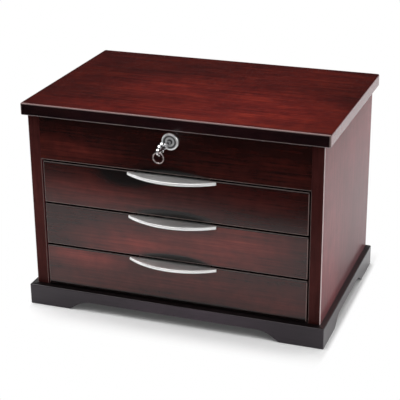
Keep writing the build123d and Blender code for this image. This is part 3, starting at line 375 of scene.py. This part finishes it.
def plain_wood(name, axis):
    """Dark stained wood without lacquer, for the inside."""
    shader = Shader(name)
    figure = shader.grains(along(axis, 4, 30), detail=4, warp=0.6)
    streaks = shader.grains(along(axis, 14, 420), detail=5)
    stain = shader.ramp(figure, (0.3, (0.016, 0.006, 0.005)), (0.7, (0.05, 0.017, 0.013)))
    lines = shader.ramp(streaks, (0.3, 0.6), (0.65, 1.0))
    shader.feed(shader.mix(0.8, stain, lines, "MULTIPLY"), "Base Color")
    shader.set(Roughness=0.48, IOR=1.45)
    shader.bump(streaks, 0.12, 0.0002)
    return shader.material


def metal(name, colour, rough, brushed=None, brush=0.0, ring_shades=None):
    """Metal with fine brush lines along an axis, or with faint mottling.

    Ring_shades is the painted shade of a round face that looks forward: (middle, (radius, share), ...)."""
    shader = Shader(name)
    scale = (240, 240, 240) if brushed is None else along(brushed, 25, 2200)
    marks = shader.grains(scale, detail=3)
    cloud = shader.grains((45, 45, 45), detail=2)
    colour = shader.ramp(cloud, (0.3, tuple(0.93 * part for part in colour)), (0.7, colour))
    # Painted shade, darker at given radii of a round face that looks forward.
    if ring_shades is not None:
        middle, *shades = ring_shades
        offset = shader.vectors("SUBTRACT", shader.places.outputs["Object"], middle)
        flat = shader.vectors("MULTIPLY", offset, (1 / RING_SHADE_REACH, 0, 1 / RING_SHADE_REACH))
        radius = shader.vectors("LENGTH", flat)
        shade_by_radius = shader.ramp(radius, *((reach / RING_SHADE_REACH, share) for reach, share in shades))
        colour = shader.mix(1.0, colour, shade_by_radius, "MULTIPLY")
    shader.feed(colour, "Base Color")
    shader.set(Metallic=1.0)
    shader.feed(shader.between(marks, rough * 0.75, rough * 1.3), "Roughness")
    if brush:
        shader.bump(marks, brush, 0.0001)
    return shader.material


def velvet(name, dark, light):
    """Short pile with slow waves of lay."""
    shader = Shader(name)
    pile = shader.grains((2600, 2600, 2600), detail=2)
    lay = shader.grains((26, 26, 26), detail=4, warp=0.8)
    tone = shader.sums("ADD", shader.sums("MULTIPLY", pile, 0.5), shader.sums("MULTIPLY", lay, 0.5))
    shader.feed(shader.ramp(tone, (0.35, dark), (0.65, light)), "Base Color")
    shader.set(Roughness=0.95, IOR=1.3, Sheen_Weight=0.5, Sheen_Roughness=0.35)
    shader.bump(pile, 0.4, 0.0003)
    return shader.material


def mirror_silver():
    shader = Shader("silvered_glass")
    haze = shader.grains((30, 30, 30), detail=3)
    shader.feed(shader.ramp(haze, (0.3, (0.86, 0.89, 0.88)), (0.7, (0.9, 0.92, 0.91))), "Base Color")
    shader.set(Metallic=1.0, Roughness=0.015)
    return shader.material


def paint(name, material):
    """The node keeps its shape and takes a material."""
    slots = nodes[name].data.materials
    slots.clear()
    slots.append(material)


def smooth(name):
    """Round faces shade smoothly, and flat ones stay flat."""
    piece = nodes[name]
    bpy.context.view_layer.objects.active = piece
    for other in bpy.context.selected_objects:
        other.select_set(False)
    piece.select_set(True)
    bpy.ops.object.shade_smooth_by_angle(angle=radians(30))
    even = piece.modifiers.new("even", "WEIGHTED_NORMAL")
    even.keep_sharp = True
    even.weight = 100


def dress_frame():
    # The lid: painted shade on its front, back and left faces, a painted reflection on its right faces,
    # painted highlights on its eased front edges, and a top lighter in the middle and darker towards its
    # edges, partly stain and partly painted light.
    lid = lacquered("mahogany_lid", 0, (0.035, 0.003, 0.0028), (0.075, 0.0065, 0.005), (0.14, 0.014, 0.0075),
                    facing_shades={"Y": (0.19, 0.45, 0.85), "left": (0.6, 0.8, 0.8)}, right=(0.25, 0.105, 0.115),
                    fine=360,
                    rim_shading=((0.2, 0.13, 0.125), (0.2, 0.14, 0.13), (0.4, 0.33, 0.33)),
                    patches=(0.45, (((0.03, -0.01, 0.2285), (0.16, 0.12, 1), 0.6),
                                    ((0.1, -0.06, 0.2285), (0.13, 0.1, 1), 0.6),
                                    ((-0.06, 0.0, 0.2285), (0.09, 0.06, 1), 0.35),
                                    ((-0.04, -0.09, 0.2285), (0.17, 0.06, 1), 0.6),
                                    ((0.09, 0.09, 0.2285), (0.1, 0.06, 1), 0.25))))
    paint("lid_panel", lid)
    # The sides: painted shade on the faces that look front, back, up, down and left, painted highlights on
    # their eased front edges and on the front right corner, and painted light in patches that leave the low
    # back of the right side in painted shade.
    side = lacquered("mahogany_sides", 2, (0.14, 0.026, 0.028), (0.2, 0.037, 0.04), (0.28, 0.052, 0.056),
                     ior=1.1, fine=240,
                     facing_shades={"Y": (0.37, 0.5, 0.42), "Z": (0.4, 0.5, 0.42), "left": (0.45, 0.4, 0.35)},
                     sheen=(0.5, 0.3, (1.0, 0.62, 0.66)),
                     rim_shading=((0.17, 0.11, 0.1), (0.2, 0.14, 0.13), (0.17, 0.11, 0.1)), rim_top=0.17,
                     corner=(0.157, (0.75, 0.6, 0.6)),
                     patches=(0.4, (((0.16, -0.08, 0.2), (1, 0.16, 0.14), 0.35),
                                    ((0.16, -0.07, 0.07), (1, 0.1, 0.12), 0.5),
                                    ((0.16, 0.08, 0.19), (1, 0.12, 0.09), 0.45),
                                    ((-0.16, 0.0, 0.14), (0.1, 0.2, 0.17), 0.5))))
    paint("left_side_panel", side)
    paint("right_side_panel", side)
    # The lock rail: painted shade on its upper and level eased edges, a painted highlight on its lower edge,
    # painted light towards its left, and painted shade above the top pull.
    rail = lacquered("mahogany_rail", 0, (0.028, 0.005, 0.0045), (0.075, 0.012, 0.009), (0.15, 0.022, 0.015),
                     at=(1, 2, 3),
                     rim_shading=((0.02, 0.005, 0.004), (0.02, 0.005, 0.004), (0.4, 0.3, 0.28)),
                     patches=(0.32, (((-0.11, -0.094, 0.18), (0.09, 1, 0.03), 0.75),
                                     ((0.08, -0.094, 0.178), (0.12, 1, 0.03), 0.3),
                                     ((0, -0.094, 0.1677), (0.055, 1, 0.01), -0.6))))
    paint("lock_rail", rail)
    dark_stain = (0.03, 0.005, 0.005), (0.07, 0.01, 0.008), (0.12, 0.02, 0.013)
    back = lacquered("mahogany_back", 0, *dark_stain, at=(4, 1, 0))
    paint("back_panel", back)
    # Drawer fronts: lighter patches of stain; the negative gains are painted shade: a darker spot at the top
    # left of the first, a lens above the next pull down on each of the upper two, and a strip along the foot
    # of the lowest.
    patches = {
        1: (0.17, (((-0.09, -0.094, 0.135), (0.11, 1, 0.035), 0.42),
                   ((0.0, -0.094, 0.14), (0.1, 1, 0.04), 0.22),
                   ((0.09, -0.094, 0.15), (0.07, 1, 0.02), 0.15),
                   ((0, -0.094, 0.1198), (0.055, 1, 0.011), -1.4),
                   ((-0.05, -0.094, 0.158), (0.05, 1, 0.022), -0.5))),
        2: (0.2, (((-0.02, -0.094, 0.083), (0.12, 1, 0.04), 0.85),
                  ((0.075, -0.094, 0.1), (0.08, 1, 0.045), 0.75),
                  ((-0.07, -0.094, 0.08), (0.06, 1, 0.03), 0.2),
                  ((0, -0.094, 0.0719), (0.055, 1, 0.011), -2.2))),
        3: (0.2, (((-0.1, -0.094, 0.064), (0.07, 1, 0.022), 0.75),
                  ((-0.09, -0.094, 0.04), (0.1, 1, 0.05), 0.18),
                  ((0.02, -0.094, 0.05), (0.1, 1, 0.035), 0.32),
                  ((0.11, -0.094, 0.04), (0.06, 1, 0.04), 0.25),
                  ((0, -0.094, 0.024), (0.4, 1, 0.005), -0.8))),
    }
    # Painted highlights on the lower eased edges of the upper two drawers, and painted shade on the lowest
    # one's, above the plinth.
    low_rim_shading = {1: (0.3, 0.22, 0.2), 2: (0.25, 0.18, 0.17), 3: (0.015, 0.006, 0.005)}
    # Each front: a faint painted highlight on its upper eased edge over a near-black painted shade strip at
    # its top, and painted highlights on its level edges.
    for number in DRAWERS:
        at = (0.3 * number, 0.7 * number, 1.3 * number)
        front = lacquered(f"mahogany_drawer_{number}", 0, (0.09, 0.013, 0.01), (0.17, 0.021, 0.016),
                          (0.27, 0.037, 0.026), at=at, ior=1.47, fine=520, patches=patches[number],
                          rim_shading=((0.12, 0.09, 0.085), (0.22, 0.15, 0.14), low_rim_shading[number]),
                          band=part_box(f"drawer_{number}_front")[1].z - 0.0014)
        paint(f"drawer_{number}_front", front)
    frame_wood = lacquered("mahogany_mirror", 0, *dark_stain, at=(2, 6, 1))
    paint("mirror_frame", frame_wood)
    black = (0.02, 0.012, 0.019), (0.028, 0.017, 0.026), (0.036, 0.023, 0.033)
    # Painted shade on the plinth's faces that look up and down.
    ledge_shade = {"Z": (0.2, 0.2, 0.15)}
    # The front and back aprons are lighter in the middle, a painted light.
    black_x = lacquered("black_x", 0, *black, rough=0.3, facing_shades=ledge_shade,
                        patches=(0.7, (((0.02, -0.1, 0.012), (0.13, 1, 1), 0.8),)))
    black_y = lacquered("black_y", 1, *black, ior=2.3, rough=0.3, facing_shades=ledge_shade)
    paint("plinth_front_apron", black_x)
    paint("plinth_back_apron", black_x)
    paint("plinth_side_aprons", black_y)
    wood_x, wood_y = plain_wood("inner_wood_x", 0), plain_wood("inner_wood_y", 1)
    paint("bottom_board", wood_x)
    paint("corner_blocks", wood_x)
    paint("tray_floor", wood_x)
    paint("drawer_runners", wood_y)
    for number in DRAWERS:
        paint(f"drawer_{number}_box", wood_y)
        paint(f"drawer_{number}_bottom", wood_x)
    satin = metal("satin_nickel", (0.95, 0.95, 0.94), 0.5, brushed=0, brush=0.06)
    chrome = metal("bright_chrome", (0.82, 0.82, 0.83), 0.09)
    steel = metal("zinc_steel", (0.55, 0.55, 0.55), 0.3)
    brass = metal("polished_brass", (0.72, 0.5, 0.2), 0.2)
    for number in DRAWERS:
        paint(f"drawer_{number}_pull", satin)
        paint(f"drawer_{number}_pull_screws", steel)
        nodes[f"drawer_{number}_pull"].visible_diffuse = False
    for name in ("lock_nut", "key"):
        paint(name, chrome)
    low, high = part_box("lock_nut")
    middle = (low + high) / 2
    # Painted shade by radius: a dark inner dish on the housing, and a dark middle and outer ring on the plug.
    paint("lock_housing", metal("satin_chrome", (0.97, 0.97, 0.97), 0.3,
                                ring_shades=(middle, (0.0066, 0.12), (0.0071, 1.0))))
    paint("lock_plug", metal("dull_chrome", (0.9, 0.9, 0.91), 0.42,
                             ring_shades=(middle, (0.0026, 0.1), (0.0031, 0.7), (0.0047, 0.7), (0.0052, 0.12))))
    for name in ("lock_housing", "lock_plug", "key"):
        nodes[name].visible_diffuse = False
    paint("key_ring", metal("grey_wire", (0.55, 0.48, 0.47), 0.25))
    for name in ("lock_cam", "cam_screw", "strike_plate", "movement_screws", "hinge_case_screws",
                 "lid_screws", "hinge_pins", "winding_arbor", "tuned_comb", "stop_plunger"):
        paint(name, steel)
    for name in ("hinge_case_leaves", "hinge_lid_leaves", "winding_key", "movement_bedplate",
                 "spring_housing", "pinned_cylinder", "governor_fan"):
        paint(name, brass)
    paint("mirror_glass", mirror_silver())
    for name in nodes:
        smooth(name)


def spread(half, ease, step):
    """Places from -half to half: close together on the rounded ends, and a step apart between."""
    ends = [half, half - 0.35 * ease, half - ease]
    count = max(1, round(2 * (half - ease) / step))
    between = [-(half - ease) + 2 * (half - ease) * number / count for number in range(1, count)]
    return [-place for place in ends] + between + ends[::-1]


def rounded_block(low, high, ease, step, lay, seed):
    """Points and faces of a box with round edges. Lay is the depth of slow waves, which go inwards."""
    low, high = Vector(low), Vector(high)
    middle, half = (low + high) / 2, (high - low) / 2
    lists = [spread(part, min(ease, EASE_LIMIT * part), step) for part in half]
    index, points, faces = {}, [], []

    def point(spot):
        key = tuple(round(part, 7) for part in spot)
        if key not in index:
            flats = [h - min(ease, EASE_LIMIT * h) for h in half]
            inner = Vector(max(-flat, min(flat, part)) for flat, part in zip(flats, spot))
            out = Vector(spot) - inner
            radius = min(ease, EASE_LIMIT * min(half))
            place = inner + out.normalized() * radius if out.length > 1e-9 else Vector(spot)
            where = middle + place
            wave = noise.noise((where.x * 45 + seed, where.y * 45, where.z * 45))
            if out.length > 1e-9:
                place -= out.normalized() * (lay * (0.5 + 0.5 * wave))
            index[key] = len(points)
            points.append(middle + place)
        return index[key]

    for axis in range(3):
        first, second = (axis + 1) % 3, (axis + 2) % 3
        for side in (-1, 1):
            for a0, a1 in zip(lists[first], lists[first][1:]):
                for b0, b1 in zip(lists[second], lists[second][1:]):
                    corners = []
                    for a, b in ((a0, b0), (a1, b0), (a1, b1), (a0, b1)):
                        spot = [0, 0, 0]
                        spot[axis], spot[first], spot[second] = side * half[axis], a, b
                        corners.append(point(spot))
                    faces.append(corners if side > 0 else corners[::-1])
    return points, faces


def rows_of_faces(rows, around):
    """Faces between round rows of points, each joined to the next."""
    faces = []
    for row in range(rows):
        for number in range(around):
            after = (number + 1) % around
            a, b = row * around, (row + 1) * around
            faces.append([a + number, a + after, b + after, b + number])
    return faces


def roll(low, high, seed):
    """Points and faces of one padded roll along X: flat below, round above, drawn in at its ends."""
    (x0, y0, z0), (x1, y1, z1) = low, high
    half_width, height = (y1 - y0) / 2, z1 - z0
    middle = (y0 + y1) / 2
    square_y, square_z = ROLL_SQUARE
    points = []
    for row in range(ROLL_ALONG + 1):
        t = row / ROLL_ALONG
        end = min(t, 1 - t) * (x1 - x0)
        cap = min(1.0, end / ROLL_CAP)
        size = (1 - (1 - cap) ** 2) ** 0.5
        draw = 1 - ROLL_DRAW + ROLL_DRAW * min(1.0, end / ROLL_DRAW_REACH)
        for number in range(ROLL_AROUND):
            angle = 2 * pi * number / ROLL_AROUND
            y, z = sin(angle), cos(angle)
            y = (abs(y) ** square_y) * (1 if y > 0 else -1)
            z = (abs(z) ** square_z) * (1 if z > 0 else -1)
            if z < 0:
                z = max(z * ROLL_FLAT, -1)
            fold = noise.noise((t * 7 + seed, 2.2 * angle, seed * 3)) * ROLL_FOLD
            deep = max(0.0, 1 - end / ROLL_CREASE_REACH)
            crease = ROLL_CREASE * deep * (0.5 + 0.5 * sin(angle * ROLL_CREASES + seed))
            reach = max(0.0, size * draw * half_width - ROLL_ROOM - abs(fold) - crease)
            rise = max(0.0, size * draw * height / 2 - ROLL_ROOM - abs(fold) - crease)
            points.append(Vector((x0 + t * (x1 - x0), middle + y * reach, z0 + height / 2 * draw + z * rise)))
    faces = rows_of_faces(ROLL_ALONG, ROLL_AROUND)
    faces.append(list(range(ROLL_AROUND)))
    faces.append([ROLL_ALONG * ROLL_AROUND + number for number in reversed(range(ROLL_AROUND))])
    return points, faces


def disc(x, y, z0, z1, radius):
    """Points and faces of a round pad with an eased rim."""
    ease = (z1 - z0) * 0.35
    lower = [(0, z0), (radius * 0.6, z0), (radius - ease, z0), (radius - 0.3 * ease, z0 + 0.3 * ease),
             (radius, z0 + ease)]
    upper = [(radius, z1 - ease), (radius - 0.3 * ease, z1 - 0.3 * ease), (radius - ease, z1),
             (radius * 0.6, z1), (0, z1)]
    profile = lower + upper
    around = 48
    points = []
    for reach, z in profile:
        for number in range(around):
            angle = 2 * pi * number / around
            points.append(Vector((x + reach * cos(angle), y + reach * sin(angle), z)))
    return points, rows_of_faces(len(profile) - 1, around)


def ring(middle, radius, wire, name, material, body):
    """A round wire ring that lies flat."""
    around, across = 40, 12
    points, faces = [], []
    for number in range(around):
        angle = 2 * pi * number / around
        for turn in range(across):
            tilt = 2 * pi * turn / across
            reach = radius + wire * cos(tilt)
            offset = Vector((reach * cos(angle), reach * sin(angle), wire * 0.6 * sin(tilt)))
            points.append(Vector(middle) + offset)
    for number in range(around):
        for turn in range(across):
            a, b = number * across, (number + 1) % around * across
            after = (turn + 1) % across
            faces.append([a + turn, b + turn, b + after, a + after])
    return make_piece(name, [(points, faces)], material, body)


def make_piece(name, forms, material, body, *replaced):
    """One object from several forms, which rides on a body and may replace CAD nodes."""
    points, faces = [], []
    for form_points, form_faces in forms:
        start = len(points)
        points += form_points
        faces += [[start + corner for corner in face] for face in form_faces]
    mesh = bpy.data.meshes.new(name)
    mesh.from_pydata([tuple(point) for point in points], [], faces)
    bm = bmesh.new()
    bm.from_mesh(mesh)
    bmesh.ops.remove_doubles(bm, verts=bm.verts, dist=1e-7)
    bmesh.ops.recalc_face_normals(bm, faces=bm.faces)
    bm.to_mesh(mesh)
    bm.free()
    for polygon in mesh.polygons:
        polygon.use_smooth = True
    mesh.materials.append(material)
    piece = bpy.data.objects.new(name, mesh)
    bpy.context.scene.collection.objects.link(piece)
    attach(piece, body)
    if replaced:
        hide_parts(*replaced)
    return piece


def lining_blocks(node, thick):
    """Floor and walls of a lining as corner pairs, from the outside of its CAD node."""
    low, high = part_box(node)
    top = low.z + thick
    return {
        "floor": ((low.x, low.y, low.z), (high.x, high.y, top)),
        "left": ((low.x, low.y, top), (low.x + thick, high.y, high.z)),
        "right": ((high.x - thick, low.y, top), (high.x, high.y, high.z)),
        "near": ((low.x + thick, low.y, top), (high.x - thick, low.y + thick, high.z)),
        "far": ((low.x + thick, high.y - thick, top), (high.x - thick, high.y, high.z)),
    }


def line_drawers(black):
    for number in DRAWERS:
        drawer = f"drawer_{number}"
        blocks = lining_blocks(f"{drawer}_lining", DRAWER_PILE)
        forms = [rounded_block(*pair, ease=0.0007, step=0.008, lay=0.0002, seed=number)
                 for pair in blocks.values()]
        piece = make_piece(f"{drawer}_velvet", forms, black, drawer, f"{drawer}_lining")


def line_tray(black):
    cover_low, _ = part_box("movement_cover")
    nut_low, nut_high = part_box("lock_nut")
    blocks = lining_blocks("tray_lining", TRAY_PILE)
    (x0, y0, z0), (x1, y1, z1) = blocks["floor"]
    floors = [((x0, y0, z0), (x1, cover_low.y, z1)), ((x0, cover_low.y, z0), (cover_low.x, y1, z1))]
    (x0, y0, z0), (x1, y1, z1) = blocks["right"]
    walls = [blocks["left"], ((x0, y0, z0), (x1, cover_low.y, z1))]
    (x0, y0, z0), (x1, y1, z1) = blocks["far"]
    walls.append(((x0, y0, z0), (cover_low.x, y1, z1)))
    (x0, y0, z0), (x1, y1, z1) = blocks["near"]
    notch = NUT_ROOM
    below = (nut_low.z + nut_high.z) / 2 - notch
    walls += [((x0, y0, z0), (-notch, y1, z1)), ((notch, y0, z0), (x1, y1, z1)),
              ((-notch, y0, z0), (notch, y1, below))]
    forms = [rounded_block(*pair, ease=0.0009, step=0.008, lay=0.0003, seed=5) for pair in floors + walls]
    piece = make_piece("tray_velvet", forms, black, "case", "tray_lining")
    low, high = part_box("tray_dividers")
    front, end = low.y, high.y
    middle = (front + end) / 2
    thick = DIVIDER / 2
    boards = [((place - thick, front, low.z), (place + thick, end, high.z))
              for place in (-DIVIDER_PLACE, DIVIDER_PLACE)]
    boards.append(((low.x, middle - thick, low.z), (-DIVIDER_PLACE - thick, middle + thick, high.z)))
    boards.append(((DIVIDER_PLACE + thick, middle - thick, low.z), (high.x, middle + thick, high.z)))
    forms = [rounded_block(*pair, ease=0.0017, step=0.008, lay=0.0001, seed=9) for pair in boards]
    piece = make_piece("velvet_dividers", forms, black, "case", "tray_dividers")
    low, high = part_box("ring_rolls")
    rolls = []
    for number in range(ROLLS):
        start = low.y + number * ROLL_PITCH
        rolls.append(roll((low.x, start, low.z), (high.x, start + ROLL_WIDTH, high.z), 1.7 * number))
    piece = make_piece("velvet_rolls", rolls, black, "case", "ring_rolls")


def cover_movement(black, chrome):
    """The movement's cover as three velvet boards, with an eyelet where the plunger comes out."""
    low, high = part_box("movement_cover")
    wall = COVER_WALL
    boards = [((low.x, low.y, high.z - wall), (high.x, high.y, high.z)),
              ((low.x, low.y, low.z), (high.x, low.y + wall, high.z - wall)),
              ((low.x, low.y + wall, low.z), (low.x + wall, high.y, high.z - wall))]
    forms = [rounded_block(*pair, ease=0.0009, step=0.007, lay=0.0001, seed=3) for pair in boards]
    piece = make_piece("velvet_movement_cover", forms, black, "case", "movement_cover")
    plunger_low, plunger_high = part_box("stop_plunger")
    place = (plunger_low + plunger_high) / 2
    bpy.ops.mesh.primitive_cylinder_add(radius=PLUNGER_HOLE, depth=PLUNGER_CUT, vertices=32,
                                        location=(place.x, place.y, high.z))
    cutter = bpy.context.active_object
    cut = piece.modifiers.new("hole", "BOOLEAN")
    cut.object = cutter
    cut.operation = "DIFFERENCE"
    bpy.context.view_layer.update()
    cut_mesh = bpy.data.meshes.new_from_object(piece.evaluated_get(bpy.context.evaluated_depsgraph_get()))
    piece.modifiers.clear()
    piece.data = cut_mesh
    bpy.data.objects.remove(cutter)
    ring((place.x, place.y, high.z), PLUNGER_HOLE + EYELET_WIRE, EYELET_WIRE,
         "plunger_eyelet", chrome, "case")


def pad_feet(felt):
    low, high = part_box("foot_pads")
    reach = PAD_RADIUS
    forms = []
    for x in (low.x + reach, high.x - reach):
        for y in (low.y + reach, high.y - reach):
            forms.append(disc(x, y, low.z, high.z, reach))
    piece = make_piece("foot_felts", forms, felt, "case", "foot_pads")


def make_soft_pieces():
    black = velvet("black_velvet", (0.004, 0.004, 0.005), (0.016, 0.016, 0.018))
    felt = velvet("grey_felt", (0.02, 0.02, 0.02), (0.05, 0.05, 0.05))
    line_drawers(black)
    line_tray(black)
    cover_movement(black, bpy.data.materials["bright_chrome"])
    pad_feet(felt)


def make_table():
    """A pale table that ends in front of the box, white where the camera and gloss see it far off."""
    size = TABLE_REACH
    points = [(-size, TABLE_FRONT), (size, TABLE_FRONT), (size, size), (-size, size)]
    turn = radians(TABLE_TURN)
    corners = [(x * cos(turn) + y * sin(turn), y * cos(turn) - x * sin(turn), 0) for x, y in points]
    mesh = bpy.data.meshes.new("table")
    mesh.from_pydata(corners, [], [(0, 1, 2, 3)])
    table = bpy.data.objects.new("table", mesh)
    bpy.context.scene.collection.objects.link(table)
    shader = Shader("table_white")
    grain = shader.grains((60, 60, 60), detail=2)
    shader.feed(shader.ramp(grain, (0.3, 0.845), (0.7, 0.855)), "Base Color")
    shader.set(Roughness=0.9, IOR=1.2)
    tree = shader.tree
    path = tree.nodes.new("ShaderNodeLightPath")
    direct = shader.sums("MAXIMUM", path.outputs["Is Camera Ray"], path.outputs["Is Transmission Ray"])
    low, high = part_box("plinth_side_aprons")
    middle = (low + high) / 2
    outward = shader.vectors("ABSOLUTE", shader.vectors("SUBTRACT", shader.places.outputs["Object"], middle))
    outside = shader.vectors("MAXIMUM", shader.vectors("SUBTRACT", outward, (high - low) / 2), (0, 0, 0))
    length = shader.vectors("LENGTH", shader.vectors("MULTIPLY", outside, (TABLE_SIDE_STRETCH, 1, 0)))
    far = shader.sums("MAXIMUM", shader.step(length, *TABLE_WHITE), TABLE_HAZE)
    seen = shader.sums("MULTIPLY", direct, far)
    white = tree.nodes.new("ShaderNodeEmission")
    white.inputs["Color"].default_value = (1, 1, 1, 1)
    blend = tree.nodes.new("ShaderNodeMixShader")
    tree.links.new(seen, blend.inputs[0])
    shader.join(shader.surface, "BSDF", blend, 1)
    shader.join(white, "Emission", blend, 2)
    shader.join(blend, "Shader", shader.output, "Surface")
    mesh.materials.append(shader.material)


def make_world():
    """Dim walls under a bright ceiling, and white for the camera and near the horizon."""
    world = bpy.data.worlds.new("studio")
    world.use_nodes = True
    tree = world.node_tree
    sky = Nodes(tree)
    places = tree.nodes.new("ShaderNodeTexCoord")
    parts = tree.nodes.new("ShaderNodeSeparateXYZ")
    tree.links.new(places.outputs["Generated"], parts.inputs["Vector"])
    height = parts.outputs["Z"]
    ceiling = sky.step(height, *CEILING_RISE, WALL_LIGHT, CEILING_LIGHT)
    band = sky.sums("MULTIPLY", sky.step(height, *HORIZON_RISE), sky.step(height, *HORIZON_FALL, 1.0, 0.0))
    path = tree.nodes.new("ShaderNodeLightPath")
    glossy = sky.sums("MULTIPLY", path.outputs["Is Glossy Ray"], band)
    direct = sky.sums("MAXIMUM", path.outputs["Is Camera Ray"], path.outputs["Is Transmission Ray"])
    seen = sky.sums("MAXIMUM", direct, glossy)
    studio = tree.nodes.new("ShaderNodeBackground")
    studio.inputs["Color"].default_value = (1, 1, 1, 1)
    tree.links.new(ceiling, studio.inputs["Strength"])
    white = tree.nodes.new("ShaderNodeBackground")
    white.inputs["Color"].default_value = (1, 1, 1, 1)
    blend = tree.nodes.new("ShaderNodeMixShader")
    output = tree.nodes.new("ShaderNodeOutputWorld")
    tree.links.new(seen, blend.inputs[0])
    tree.links.new(studio.outputs["Background"], blend.inputs[1])
    tree.links.new(white.outputs["Background"], blend.inputs[2])
    tree.links.new(blend.outputs["Shader"], output.inputs["Surface"])
    bpy.context.scene.world = world


def soft_box(name, place, aim, size, power):
    data = bpy.data.lights.new(name, "AREA")
    data.shape = "RECTANGLE"
    data.size, data.size_y = size
    data.energy = power
    light = bpy.data.objects.new(name, data)
    light.location = place
    light.rotation_mode = "QUATERNION"
    light.rotation_quaternion = (Vector(place) - Vector(aim)).to_track_quat("Z", "Y")
    bpy.context.scene.collection.objects.link(light)


def make_lights():
    for box in SOFT_BOXES:
        soft_box(*box)


make_camera()
make_world()
make_table()
make_lights()
dress_frame()
make_soft_pieces()

bpy.context.scene.view_settings.view_transform = "Standard"
